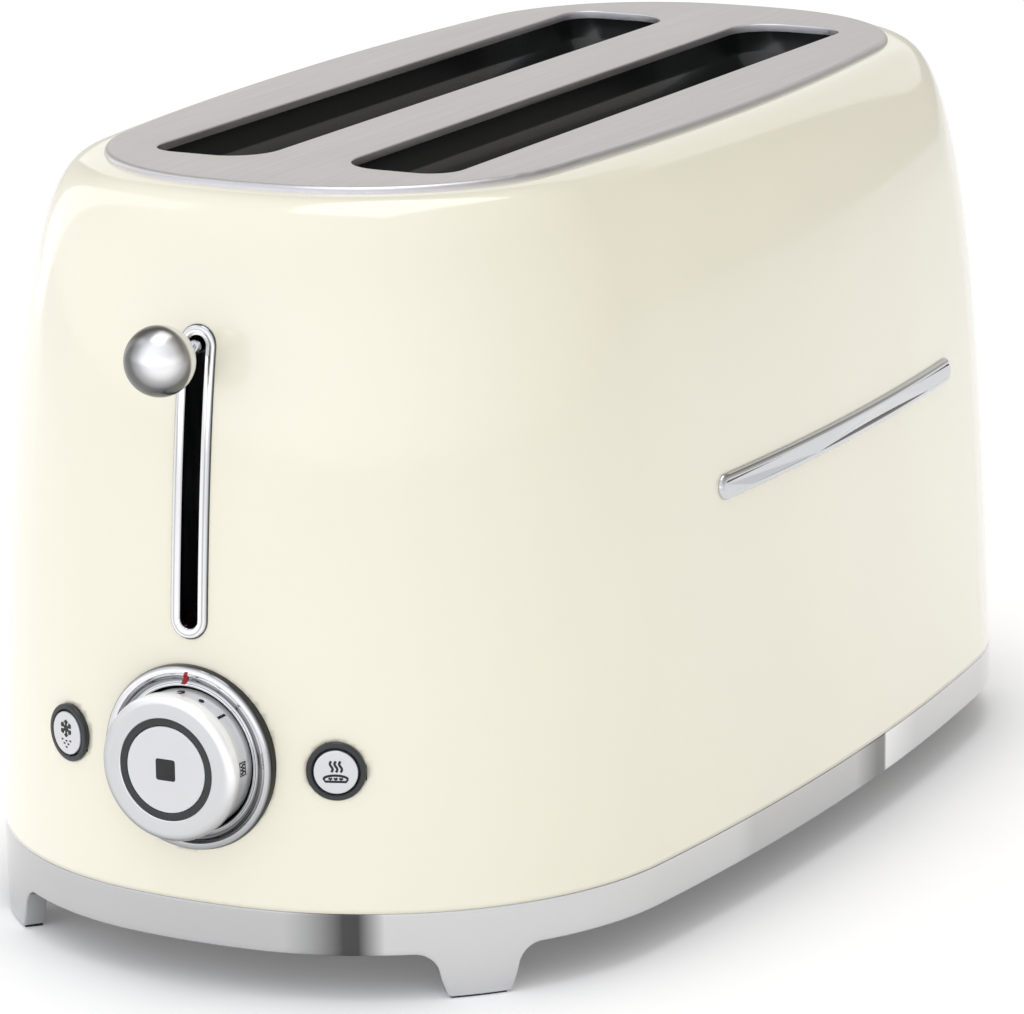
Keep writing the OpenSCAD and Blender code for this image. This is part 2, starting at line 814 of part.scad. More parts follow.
guide_cage(1, 1);  // left_outer_guide
guide_cage(1, -1);  // left_inner_guide
guide_cage(-1, 1);  // right_inner_guide
guide_cage(-1, -1);  // right_outer_guide
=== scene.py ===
"""Looks of the pop up toaster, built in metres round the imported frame."""

import json
import math

import bmesh
import bpy
import numpy as np
from mathutils import Matrix, Vector, geometry


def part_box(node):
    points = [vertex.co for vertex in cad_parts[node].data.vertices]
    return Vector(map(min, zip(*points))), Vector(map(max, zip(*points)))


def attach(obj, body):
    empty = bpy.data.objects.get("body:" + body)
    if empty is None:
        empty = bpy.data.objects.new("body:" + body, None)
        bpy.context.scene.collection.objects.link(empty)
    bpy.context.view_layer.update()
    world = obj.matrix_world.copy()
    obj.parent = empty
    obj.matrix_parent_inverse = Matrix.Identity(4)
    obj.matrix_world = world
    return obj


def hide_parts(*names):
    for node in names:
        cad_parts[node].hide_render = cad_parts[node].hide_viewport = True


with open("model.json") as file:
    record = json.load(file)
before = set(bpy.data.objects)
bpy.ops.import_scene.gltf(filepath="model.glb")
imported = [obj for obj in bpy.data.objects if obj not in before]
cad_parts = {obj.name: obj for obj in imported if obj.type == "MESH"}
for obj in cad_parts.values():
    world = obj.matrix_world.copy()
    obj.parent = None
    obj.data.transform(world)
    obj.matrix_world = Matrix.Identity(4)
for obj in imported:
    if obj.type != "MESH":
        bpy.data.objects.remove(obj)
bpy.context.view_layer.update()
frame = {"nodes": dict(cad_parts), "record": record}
CAD = frame["nodes"]
MM = 0.001

# ---------------------------------------------------------------- sizes, from the frame
# The arcs and the lean are those of the CAD shell, other sizes are measured on the nodes, and some
# are given here.
SHELL_LO, SHELL_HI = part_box("body_shell")
MID = (SHELL_LO.x + SHELL_HI.x) / 2
HALF_LEN = (SHELL_HI.x - SHELL_LO.x) / 2
HALF_WID = SHELL_HI.y
BAND_TOP = SHELL_LO.z
SHELL_TOP = SHELL_HI.z
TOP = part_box("top_plate")[1].z
BAND_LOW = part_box("cover_screws")[0].z + 0.4 * MM
SIDE_R = 990 * MM
END_R = 167 * MM
CORNER_R = 90 * MM
LEAN_IN = 32.8 * MM
LEAN_PART = 0.22
SKIN = 1.2 * MM
PLATE_EDGE = LEAN_IN - 0.6 * MM
SLOT_Y = 28.7 * MM
SLOT_HALF_L = 127 * MM
SLOT_HALF_W = 16.7 * MM
BALL_R = (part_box("lever_ball")[1].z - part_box("lever_ball")[0].z) / 2
BALL = Vector((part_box("lever_ball")[0].x + BALL_R, 0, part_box("lever_ball")[0].z + BALL_R))
KNOB_Z = (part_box("knob_cap")[0].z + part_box("knob_cap")[1].z) / 2
CAP_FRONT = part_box("knob_cap")[0].x
BUTTON_Y = 40 * MM
BEZEL_LO, BEZEL_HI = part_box("lever_slot_bezel")
BEZEL_MID_Z = (BEZEL_LO.z + BEZEL_HI.z) / 2
BEZEL_HALF_W = BEZEL_HI.y
BEZEL_HALF_H = (BEZEL_HI.z - BEZEL_LO.z) / 2
BEZEL_STRAIGHT = BEZEL_HALF_H - BEZEL_HALF_W
BEZEL_RIM = 2.9 * MM


# ---------------------------------------------------------------- meshes
AXIS_R = 0.01 * MM
SHARP_DEGREES = 32


def mark_sharp(bm):
    """Edges that turn more than a little stay crisp under smooth shading."""
    for edge in bm.edges:
        if len(edge.link_faces) == 2:
            edge.smooth = edge.calc_face_angle(0) < math.radians(SHARP_DEGREES)


def new_piece(name, verts, faces, smooth=True):
    mesh = bpy.data.meshes.new(name)
    mesh.from_pydata([tuple(v) for v in verts], [], faces)
    mesh.validate()
    mesh.update()
    bm = bmesh.new()
    bm.from_mesh(mesh)
    bmesh.ops.recalc_face_normals(bm, faces=bm.faces)
    mark_sharp(bm)
    bm.to_mesh(mesh)
    bm.free()
    mesh.polygons.foreach_set("use_smooth", [smooth] * len(mesh.polygons))
    piece = bpy.data.objects.new(name, mesh)
    bpy.context.scene.collection.objects.link(piece)
    return piece


def grid_piece(name, rows, wrap_rows=False, wrap_cols=True, caps=False, keep=None):
    """A quad grid through rows of points. keep(centre) says which quads stay."""
    rows = np.asarray(rows, float)
    count, width = rows.shape[0], rows.shape[1]
    verts = rows.reshape(-1, 3)
    faces = []
    for i in range(count if wrap_rows else count - 1):
        for j in range(width if wrap_cols else width - 1):
            a = i * width
            b = (i + 1) % count * width
            k = (j + 1) % width
            quad = (a + j, b + j, b + k, a + k)
            if keep is None or keep(verts[list(quad)].mean(0)):
                faces.append(quad)
    if caps:
        faces.append(tuple(range(width)))
        faces.append(tuple((count - 1) * width + j for j in range(width)))
    return new_piece(name, verts, faces)


def revolve_rows(profile, segments):
    turns = np.linspace(0, 2 * math.pi, segments, endpoint=False)
    return [[(r * math.cos(t), r * math.sin(t), h) for t in turns] for r, h in profile]


def turned(name, profile, place, segments=96, closed=True):
    """A turned piece: profile holds (radius, height) points, place puts local +Z outwards.

    A solid one is not closed: its profile starts and ends at AXIS_R, nearly on the axis."""
    rows = revolve_rows(profile, segments)
    rows = [[tuple(place @ Vector(p)) for p in row] for row in rows]
    return grid_piece(name, rows, wrap_rows=closed)


def arc(centre, radius, start, end, steps=6):
    """Points of an arc in a profile, angles in degrees."""
    turns = [math.radians(start + (end - start) * i / steps) for i in range(steps + 1)]
    return [(centre[0] + radius * math.cos(t), centre[1] + radius * math.sin(t)) for t in turns]


def sweep(name, path, radius, sides=12, closed=False):
    """A round wire along a path of points."""
    path = [Vector(p) for p in path]
    count = len(path)
    rows = []
    side = None
    for i, point in enumerate(path):
        before = path[i - 1] if i or closed else point
        after = path[(i + 1) % count] if i + 1 < count or closed else point
        along = (after - before).normalized()
        if side is None:
            side = along.orthogonal().normalized()
        side = (side - along * side.dot(along)).normalized()
        other = along.cross(side)
        turns = [2 * math.pi * j / sides for j in range(sides)]
        rows.append([tuple(point + radius * (side * math.cos(t) + other * math.sin(t)))
                     for t in turns])
    return grid_piece(name, rows, wrap_rows=closed, caps=not closed)


def join(name, pieces):
    bm = bmesh.new()
    for piece in pieces:
        bm.from_mesh(piece.data)
        bpy.data.objects.remove(piece)
    mesh = bpy.data.meshes.new(name)
    bm.to_mesh(mesh)
    bm.free()
    joined = bpy.data.objects.new(name, mesh)
    bpy.context.scene.collection.objects.link(joined)
    return joined


def weld(piece, distance=0.02 * MM):
    """Joins the points that meet, so that the sheets become one skin."""
    bm = bmesh.new()
    bm.from_mesh(piece.data)
    bmesh.ops.remove_doubles(bm, verts=bm.verts, dist=distance)
    bmesh.ops.recalc_face_normals(bm, faces=bm.faces)
    mark_sharp(bm)
    bm.to_mesh(piece.data)
    bm.free()
    piece.data.polygons.foreach_set("use_smooth", [True] * len(piece.data.polygons))


def flat_with_holes(name, outer, holes, z):
    """A flat face between an outline and its holes."""
    points = []
    edges = []
    for loop in [outer] + holes:
        start = len(points)
        points += [Vector((p[0], p[1])) for p in loop]
        edges += [(start + i, start + (i + 1) % len(loop)) for i in range(len(loop))]
    verts, _, faces, *_ = geometry.delaunay_2d_cdt(points, edges, [], 1, 1e-7)

    def inside(p, loop):
        hit = False
        for a, b in zip(loop, list(loop[1:]) + [loop[0]]):
            if (a[1] > p[1]) != (b[1] > p[1]):
                if p[0] < (b[0] - a[0]) * (p[1] - a[1]) / (b[1] - a[1]) + a[0]:
                    hit = not hit
        return hit

    kept = []
    for face in faces:
        centre = sum((verts[i] for i in face), Vector((0, 0))) / len(face)
        if inside(centre, outer) and not any(inside(centre, hole) for hole in holes):
            kept.append(face)
    return new_piece(name, [(v.x, v.y, z) for v in verts], kept)


# ---------------------------------------------------------------- the body's outline and profile
def corner_solve():
    """Centre of the corner arc that runs smoothly into the side arc and the end arc."""
    side_c = np.array([0, HALF_WID - SIDE_R])
    end_c = np.array([HALF_LEN - END_R, 0])
    r1 = SIDE_R - CORNER_R
    r2 = END_R - CORNER_R
    gap = np.linalg.norm(end_c - side_c)
    u = (end_c - side_c) / gap
    along = (r1 * r1 - r2 * r2 + gap * gap) / (2 * gap)
    across = math.sqrt(r1 * r1 - along * along)
    return side_c + u * along + np.array([u[1], -u[0]]) * across


CORNER = corner_solve()
END_ANGLE = math.atan2(CORNER[1], CORNER[0] - (HALF_LEN - END_R))
SIDE_ANGLE = math.atan2(CORNER[1] - (HALF_WID - SIDE_R), CORNER[0])


def outline(inset, ends=14, corners=56, sides=30):
    """The body's plan outline at an inset, anticlockwise from the middle of the +X end."""
    quarter = []
    for i in range(ends):
        t = END_ANGLE * i / ends
        r = END_R - inset
        quarter.append((HALF_LEN - END_R + r * math.cos(t), r * math.sin(t)))
    for i in range(corners):
        t = END_ANGLE + (SIDE_ANGLE - END_ANGLE) * i / corners
        r = CORNER_R - inset
        quarter.append((CORNER[0] + r * math.cos(t), CORNER[1] + r * math.sin(t)))
    for i in range(sides + 1):
        t = SIDE_ANGLE + (math.pi / 2 - SIDE_ANGLE) * i / sides
        r = SIDE_R - inset
        quarter.append((r * math.cos(t), HALF_WID - SIDE_R + r * math.sin(t)))
    quarter = np.array(quarter)
    back = quarter[:-1][::-1]
    loop = np.vstack([quarter, back[:-1] * [-1, 1], quarter * [-1, -1], back[:-1] * [1, -1]])
    return loop + [MID, 0]


def ring(inset, z, **steps):
    """The outline at an inset, as points at one height."""
    loop = outline(inset, **steps)
    return np.column_stack([loop, np.full(len(loop), z)])


def inset_at(z):
    """How far the shell has leaned in at a height."""
    h = min(max((z - BAND_TOP) / (SHELL_TOP - BAND_TOP), 0), 1)
    curve = 1 - (1 - h ** 3) ** (1 / 3)
    return LEAN_IN * (LEAN_PART * h + (1 - LEAN_PART) * curve)


def profile(t):
    """Inset and height of the shell at a share of the way up its curve."""
    rise = (math.sin(t * math.pi / 2) ** 2) ** (1 / 3)
    curve = 1 - (math.cos(t * math.pi / 2) ** 2) ** (1 / 3)
    return (LEAN_IN * (LEAN_PART * rise + (1 - LEAN_PART) * curve),
            BAND_TOP + (SHELL_TOP - BAND_TOP) * rise)


# ---------------------------------------------------------------- places on the control end
def end_face(y, z):
    """A point on the control end, and the face's outward turn there."""
    inset = inset_at(z)
    if abs(y) < END_R * math.sin(END_ANGLE):
        r = END_R - inset
        turn = math.asin(y / r)
        x = HALF_LEN - END_R + r * math.cos(turn)
    else:
        r = CORNER_R - inset
        turn = math.asin((abs(y) - CORNER[1]) / r)
        x = CORNER[0] + r * math.cos(turn)
        turn = math.copysign(turn, y)
    return Vector((MID - x, y, z)), turn


def button_place(side):
    place, turn = end_face(side * BUTTON_Y, KNOB_Z)
    return (Matrix.Translation(place) @ Matrix.Rotation(-turn, 4, "Z")
            @ Matrix.Rotation(-math.pi / 2, 4, "Y"))


KNOB_PLACE = Matrix.Translation((MID, 0, KNOB_Z)) @ Matrix.Rotation(-math.pi / 2, 4, "Y")


# ---------------------------------------------------------------- materials
def srgb(r, g, b):
    """A colour from its 0 to 255 values, as the shader takes it."""
    def lin(c):
        c = c / 255
        return c / 12.92 if c <= 0.04045 else ((c + 0.055) / 1.055) ** 2.4
    return (lin(r), lin(g), lin(b), 1)


def steel_grey(value):
    """A grey with a trace of blue."""
    return (value, value, value * 1.01, 1)


class Nodes:
    """Small helpers that add shading nodes to a tree."""

    def __init__(self, tree):
        self.tree = tree

    def node(self, kind, **values):
        node = self.tree.nodes.new(kind)
        for key, value in values.items():
            if hasattr(node, key):
                setattr(node, key, value)
            else:
                node.inputs[key.replace("_", " ")].default_value = value
        return node

    def link(self, a, b):
        self.tree.links.new(a, b)

    def put(self, value, socket):
        """Sets a socket to a number or a colour, or links it to another node's output."""
        if isinstance(value, (int, float, tuple)):
            socket.default_value = value
        else:
            self.link(value, socket)

    def axes(self, source):
        """The x, y and z of a vector."""
        node = self.node("ShaderNodeSeparateXYZ")
        self.link(source, node.inputs["Vector"])
        return node.outputs["X"], node.outputs["Y"], node.outputs["Z"]

    def along(self, source, direction):
        """How far a vector of length 1 points along a direction, from -1 to 1."""
        node = self.node("ShaderNodeVectorMath", operation="DOT_PRODUCT")
        node.inputs[1].default_value = Vector(direction).normalized()
        self.link(source, node.inputs[0])
        return node.outputs["Value"]

    def between(self, source, start, end, low=0, high=1, kind="LINEAR"):
        """Rescales a value so that start becomes low and end becomes high."""
        node = self.node("ShaderNodeMapRange", interpolation_type=kind, From_Min=start,
                         From_Max=end, To_Min=low, To_Max=high)
        self.link(source, node.inputs["Value"])
        return node.outputs["Result"]

    def math(self, operation, a, b=0):
        """One sum of two values, each a socket or a number."""
        node = self.node("ShaderNodeMath", operation=operation)
        self.put(a, node.inputs[0])
        self.put(b, node.inputs[1])
        return node.outputs["Value"]

    def mix(self, share, a, b, kind="MIX"):
        """Blends two colours by a share from 0 (all a) to 1 (all b)."""
        node = self.node("ShaderNodeMix", data_type="RGBA", blend_type=kind)
        self.put(share, node.inputs[0])
        self.put(a, node.inputs[6])
        self.put(b, node.inputs[7])
        return node.outputs[2]


class Paint(Nodes):
    """A builder for node materials round one Principled shader."""

    def __init__(self, name, **values):
        self.material = bpy.data.materials.new(name)
        self.material.use_nodes = True
        super().__init__(self.material.node_tree)
        self.shader = self.tree.nodes["Principled BSDF"]
        self.relief = None
        for key, value in values.items():
            self.shader.inputs[key.replace("_", " ")].default_value = value

    def coords(self, scale=(1, 1, 1), turn=(0, 0, 0)):
        """Places on the object, in the shared frame."""
        source = self.node("ShaderNodeTexCoord")
        mapping = self.node("ShaderNodeMapping", Scale=scale, Rotation=turn)
        self.link(source.outputs["Object"], mapping.inputs["Vector"])
        return mapping.outputs["Vector"]

    def noise(self, scale, detail=4, rough=0.5, stretch=(1, 1, 1), turn=(0, 0, 0)):
        node = self.node("ShaderNodeTexNoise", Scale=scale, Detail=detail, Roughness=rough)
        self.link(self.coords(stretch, turn), node.inputs["Vector"])
        return node.outputs["Fac"]

    def ramp(self, source, stops):
        """Maps a value through (position, colour) stops."""
        node = self.node("ShaderNodeValToRGB")
        elements = node.color_ramp.elements
        while len(elements) < len(stops):
            elements.new(0.5)
        for element, (position, colour) in zip(elements, stops):
            element.position = position
            element.color = colour if len(colour) == 4 else (*colour, 1)
        self.link(source, node.inputs["Fac"])
        return node.outputs["Color"]

    def tones(self, source, stops):
        """A ramp of near-neutral greys from (position, value) stops."""
        return self.ramp(source, [(place, steel_grey(value)) for place, value in stops])

    def grey(self, source, low, high, start=0.3, end=0.7):
        return self.ramp(source, [(start, (low,) * 3), (end, (high,) * 3)])

    def into(self, source, socket):
        self.link(source, self.shader.inputs[socket])

    def facing(self, direction):
        """How far a face looks along a direction, from 0 (away) to 1 (straight along it)."""
        normal = self.node("ShaderNodeNewGeometry").outputs["Normal"]
        return self.between(self.along(normal, direction), -1, 1)

    def distance(self, a, b):
        """The length of the hypotenuse over two values."""
        squares = self.math("ADD", self.math("POWER", a, 2), self.math("POWER", b, 2))
        return self.math("SQRT", squares)

    def bump(self, source, strength, distance):
        """Adds a relief on top of those already there."""
        node = self.node("ShaderNodeBump", Strength=strength, Distance=distance)
        self.link(source, node.inputs["Height"])
        if self.relief is not None:
            self.link(self.relief, node.inputs["Normal"])
        self.relief = node.outputs["Normal"]
        self.link(self.relief, self.shader.inputs["Normal"])

    def blotches(self, colour, change, scale):
        """Colour that drifts a little across the piece."""
        r, g, b = colour[:3]
        low = (r * (1 - change), g * (1 - change), b * (1 - change * 1.3))
        high = tuple(min(c * (1 + change), 1) for c in (r, g, b))
        self.into(self.ramp(self.noise(scale, 3), [(0.35, low), (0.65, high)]), "Base Color")


def enamel(name, colour, rough=0.2, change=0.012, coat=1.0):
    paint = Paint(name, Roughness=rough, Coat_Weight=coat, Coat_Roughness=0.06, Coat_IOR=1.5)
    paint.blotches(colour, change, 9)
    paint.bump(paint.noise(260, 2), 0.04, 0.0004)
    paint.bump(paint.noise(2600, 2), 0.03, 0.0001)
    return paint.material


def chrome(name, colour=srgb(206, 207, 210), rough=0.07):
    paint = Paint(name, Metallic=1.0, Roughness=rough)
    paint.blotches(colour, 0.03, 30)
    paint.into(paint.grey(paint.noise(90, 4), rough * 0.8, rough * 1.3), "Roughness")
    return paint.material


def brushed(name, colour, stretch, rough=0.32, grain=0.12, turn=(0, 0, 0), change=0.13):
    paint = Paint(name, Metallic=1.0, Roughness=rough)
    lines = paint.noise(900, 3, 0.6, stretch, turn)
    dark = tuple(c * (1 - change) for c in colour[:3])
    light = tuple(min(c * (1 + change), 1) for c in colour[:3])
    paint.into(paint.ramp(lines, [(0.3, dark), (0.7, light)]), "Base Color")
    paint.into(paint.grey(lines, rough * 0.8, rough * 1.25), "Roughness")
    paint.bump(lines, grain, 0.0002)
    return paint.material


def moulded(name, colour, rough=0.45, grain=900, depth=0.15):
    paint = Paint(name, Roughness=rough)
    paint.blotches(colour, 0.12, 40)
    paint.into(paint.grey(paint.noise(120, 3), rough * 0.85, rough * 1.15), "Roughness")
    paint.bump(paint.noise(grain, 4), depth, 0.0002)
    return paint.material


def mica(name):
    paint = Paint(name, Roughness=0.4)
    flakes = paint.noise(220, 6, 0.7)
    paint.into(paint.ramp(flakes, [(0.3, srgb(120, 104, 78)), (0.55, srgb(176, 160, 128)),
                                   (0.75, srgb(206, 194, 164))]), "Base Color")
    paint.bump(flakes, 0.2, 0.0003)
    return paint.material


def heater_ribbon(name):
    paint = Paint(name, Metallic=0.8, Roughness=0.5)
    stain = paint.noise(60, 5, 0.6)
    paint.into(paint.ramp(stain, [(0.3, srgb(86, 78, 74)), (0.7, srgb(140, 128, 118))]),
               "Base Color")
    paint.bump(paint.noise(1500, 3), 0.2, 0.0001)
    return paint.material


# The next materials, except satin, imitate studio reflections, light and shade with painted tones.
# Real reflections should come from the shader and the lights alone, so this is not a model to
# copy.
def band_chrome(name):
    """Chrome with painted pale and dark reflections at fixed places along the toaster."""
    paint = Paint(name, Metallic=1.0, Roughness=0.09)
    x, y, _ = paint.axes(paint.coords())
    pale, mid, dim, deep, bright = 0.62, 0.52, 0.20, 0.075, 0.85
    tone = paint.tones(paint.between(x, -0.2, 0.2),
                       [(0.0, mid), (0.055, mid), (0.0665, deep), (0.0735, deep), (0.075, pale),
                        (0.35, pale), (0.375, mid), (0.535, mid), (0.574, dim), (0.587, dim),
                        (0.589, bright), (0.65, pale)])
    front_side = paint.between(y, 0.02, -0.02)
    paint.into(paint.mix(front_side, steel_grey(mid), tone), "Base Color")
    paint.into(paint.grey(paint.noise(90, 4), 0.06, 0.12), "Roughness")
    paint.bump(paint.noise(1800, 3), 0.02, 0.0001)
    return paint.material


def satin(name, colour):
    """Fine satin silver: partly metal, so that it stays pale in any light."""
    paint = Paint(name, Metallic=0.72, Roughness=0.3)
    paint.blotches(colour, 0.012, 25)
    paint.into(paint.grey(paint.noise(60, 2), 0.29, 0.31), "Roughness")
    return paint.material


# the painted reflection is palest this way, within 5 degrees of the line from the ball to the main
# camera
BALL_PALE_SIDE = (-0.80, -0.52, 0.30)


def ball_chrome(name):
    """Chrome with a painted reflection: a pale patch that faces one fixed way, and painted dark
    tones round it.
    """
    paint = Paint(name, Metallic=1.0, Roughness=0.16)
    tone = paint.tones(paint.facing(BALL_PALE_SIDE),
                       [(0.55, 0.12), (0.78, 0.16), (0.88, 0.45), (0.96, 0.92)])
    back = paint.between(paint.facing((1, 0, 0)), 0.47, 0.53)
    paint.into(paint.mix(back, tone, (0.78, 0.78, 0.79, 1)), "Base Color")
    paint.into(paint.grey(paint.noise(90, 4), 0.23, 0.27), "Roughness")
    return paint.material


def cap_satin(name):
    """Satin silver with painted light and shade, paler on faces that look up and to the right."""
    paint = Paint(name, Metallic=0.5, Roughness=0.3)
    tone = paint.tones(paint.facing((-0.25, -0.55, 0.8)),
                       [(0.1, 0.12), (0.32, 0.28), (0.5, 0.54), (0.6, 0.62), (0.68, 0.7),
                        (0.8, 1.0)])
    paint.into(tone, "Base Color")
    paint.into(paint.grey(paint.noise(60, 2), 0.29, 0.31), "Roughness")
    return paint.material


def bezel_chrome(name):
    """Chrome of the knob's rim, with painted reflections and shade in rings round the knob's axis,
    and painted shade towards its bottom.
    """
    paint = Paint(name, Metallic=1.0, Roughness=0.14)
    _, y, z = paint.axes(paint.coords())
    up = paint.math("SUBTRACT", z, KNOB_Z)
    distance = paint.between(paint.distance(y, up), 19 * MM, 25 * MM)
    rings = paint.tones(distance, [(0.0, 0.16), (0.1, 0.9), (0.22, 0.85), (0.3, 0.22),
                                   (0.48, 0.4), (0.6, 0.95), (0.86, 0.8), (0.93, 0.3),
                                   (0.97, 0.06)])
    # painted shade: the rim is darker towards its bottom
    painted_shade_towards_bottom = paint.tones(paint.between(up, -25 * MM, 25 * MM), [(0.0, 0.45), (0.45, 0.7), (0.9, 1)])
    paint.into(paint.mix(1, rings, painted_shade_towards_bottom, "MULTIPLY"), "Base Color")
    paint.into(paint.grey(paint.noise(90, 4), 0.12, 0.16), "Roughness")
    return paint.material


def slot_chrome(name):
    """Chrome of the slot's rim, with painted reflections and shade as tones along the slot's
    outline.
    """
    paint = Paint(name, Metallic=1.0, Roughness=0.1)
    _, y, z = paint.axes(paint.coords())
    along = paint.math("ABSOLUTE", paint.math("SUBTRACT", z, BEZEL_MID_Z))
    past = paint.math("MAXIMUM", paint.math("SUBTRACT", along, BEZEL_STRAIGHT), 0)
    distance = paint.between(paint.distance(y, past), BEZEL_HALF_W - BEZEL_RIM, BEZEL_HALF_W)
    paint.into(paint.tones(distance, [(0.0, 0.5), (0.16, 0.98), (0.42, 0.96), (0.56, 0.5),
                                      (0.68, 0.92), (0.86, 0.7), (0.95, 0.1)]), "Base Color")
    paint.into(paint.grey(paint.noise(90, 4), 0.08, 0.12), "Roughness")
    return paint.material


CREAM = enamel("cream_enamel", srgb(238, 233, 213))
CHROME = chrome("polished_chrome")
BAND = band_chrome("band_chrome")
CAP_SATIN_PAINTED_LIGHT = cap_satin("cap_satin")
BALL_CHROME = ball_chrome("ball_chrome")
BEZEL_CHROME = bezel_chrome("knob_rim_chrome")
SLOT_CHROME = slot_chrome("slot_rim_chrome")
SATIN = satin("satin_chrome", srgb(216, 216, 218))
PLATE = brushed("brushed_top", srgb(209, 207, 210), (0.02, 1, 1), rough=0.36, grain=0.008,
                change=0.008)
SHEET = brushed("sheet_steel", srgb(176, 179, 182), (1, 1, 0.06), rough=0.38)
WIRE = brushed("bright_wire", srgb(196, 196, 198), (0.1, 1, 1), rough=0.2, grain=0.05)
BLACK_ENAMEL = enamel("black_enamel", srgb(22, 23, 24), rough=0.25, change=0.2)
LINER = enamel("liner_black", srgb(18, 20, 20), rough=0.2, change=0.3, coat=0.25)
BLACK = moulded("black_plastic", srgb(30, 31, 32))
RUBBER = moulded("rubber", srgb(28, 28, 28), rough=0.75, grain=1400, depth=0.3)
DARK_RING = moulded("dark_ring", srgb(40, 43, 45), rough=0.22, depth=0.04)
PRINT = moulded("print_black", srgb(20, 20, 21), rough=0.5, depth=0.05)
RED = enamel("pointer_red", srgb(158, 16, 24), rough=0.45, change=0.05, coat=0.0)
PALE = moulded("pale_plastic", srgb(226, 222, 204), rough=0.35)
GREEN = moulded("solder_mask", srgb(28, 92, 52), rough=0.3, grain=400)
BLUE = moulded("relay_blue", srgb(40, 62, 110), rough=0.35)
YELLOW = moulded("tape_yellow", srgb(204, 164, 50), rough=0.4)
POT = moulded("pot_case", srgb(58, 74, 88), rough=0.4)
IRON = brushed("plated_iron", srgb(120, 124, 128), (1, 1, 0.1), rough=0.4)
COPPER = brushed("coil_copper", srgb(190, 108, 58), (1, 1, 0.03), rough=0.35)
MICA = mica("mica_board")
RIBBON = heater_ribbon("heater_ribbon")

SLOT_PAINT = {
    "cream_enamel": CREAM, "brushed_plate": PLATE, "chrome": CHROME, "rubber": RUBBER,
    "black_plastic": BLACK, "cord_rubber": RUBBER, "pale_plastic": PALE, "steel_sheet": SHEET,
    "black_enamel": BLACK_ENAMEL, "mica": MICA, "heater_ribbon": RIBBON, "bright_steel": WIRE,
    "iron": IRON, "copper": COPPER, "board_green": GREEN, "pot_case": POT, "relay_blue": BLUE,
    "transformer_yellow": YELLOW, "pointer_red": RED, "dark_ring": DARK_RING,
    "satin_chrome": SATIN,
}


def finish_piece(piece, material, body, slot, *nodes):
    """Gives a piece its material and body, and hides the nodes that it replaces; its slot is not
    used.
    """
    piece.data.materials.clear()
    piece.data.materials.append(material)
    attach(piece, body)
    if nodes:
        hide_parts(*nodes)
    return piece


def paint_cad_nodes():
    for part in frame["record"]["subparts"]:
        mesh = CAD[part["node"]].data
        mesh.materials.clear()
        mesh.materials.append(SLOT_PAINT[part["material_slot"]])


# ---------------------------------------------------------------- shell
KNOB_HOLE_R = 23.4 * MM
BUTTON_HOLE_R = 7.0 * MM


def in_lever_slot(p, grow):
    half_w = BEZEL_HALF_W - BEZEL_RIM + grow
    dz = max(abs(p[2] - BEZEL_MID_Z) - BEZEL_STRAIGHT, 0)
    return math.hypot(p[1], dz) < half_w


def shell_keeps(p):
    """Leaves out the quads where the knob, the buttons and the lever come through."""
    if p[0] > MID:
        return True
    if math.hypot(p[1], p[2] - KNOB_Z) < KNOB_HOLE_R:
        return False
    for side in (-1, 1):
        local = BUTTON_PLACES[side].inverted() @ Vector(p)
        if math.hypot(local.x, local.y) < BUTTON_HOLE_R and abs(local.z) < 10 * MM:
            return False
    return not in_lever_slot(p, 1.3 * MM)


BUTTON_PLACES = {side: button_place(side) for side in (-1, 1)}


def make_shell():
    """The wall goes up in even steps, and the shoulder in even steps round its curve."""
    wall_rows = 120
    shoulder_rows = 30
    wall = SHELL_TOP - 12 * MM - BAND_TOP
    rows = []
    for i in range(wall_rows):
        z = BAND_TOP + wall * i / wall_rows
        rows.append(ring(inset_at(z), z))
    t0 = 2 / math.pi * math.asin((wall / (SHELL_TOP - BAND_TOP)) ** 1.5)
    for i in range(shoulder_rows + 1):
        inset, z = profile(t0 + (1 - t0) * i / shoulder_rows)
        rows.append(ring(inset, z))
    rows.append(ring(LEAN_IN + 3 * MM, SHELL_TOP))
    shell = grid_piece("enamel_shell", rows, keep=shell_keeps)
    solid = shell.modifiers.new("sheet", "SOLIDIFY")
    solid.thickness = SKIN
    solid.offset = -1
    finish_piece(shell, CREAM, "housing", "cream_enamel", "body_shell")


# ---------------------------------------------------------------- top plate
def slot_outline(side, grow=0.0, steps=8):
    """A bread slot in plan: the corners near the middle of the plate are rounder."""
    cy = side * SLOT_Y
    half_l = SLOT_HALF_L + grow
    half_w = SLOT_HALF_W + grow
    inner_r = 13 * MM + grow
    outer_r = 9 * MM + grow
    loop = []
    for sx, sy, start in ((1, 1, 0), (-1, 1, 90), (-1, -1, 180), (1, -1, 270)):
        r = outer_r if sy == side else inner_r
        centre = (sx * (half_l - r), sy * (half_w - r))
        for i in range(steps + 1):
            t = math.radians(start + 90 * i / steps)
            loop.append((MID + centre[0] + r * math.cos(t), cy + centre[1] + r * math.sin(t)))
    return loop


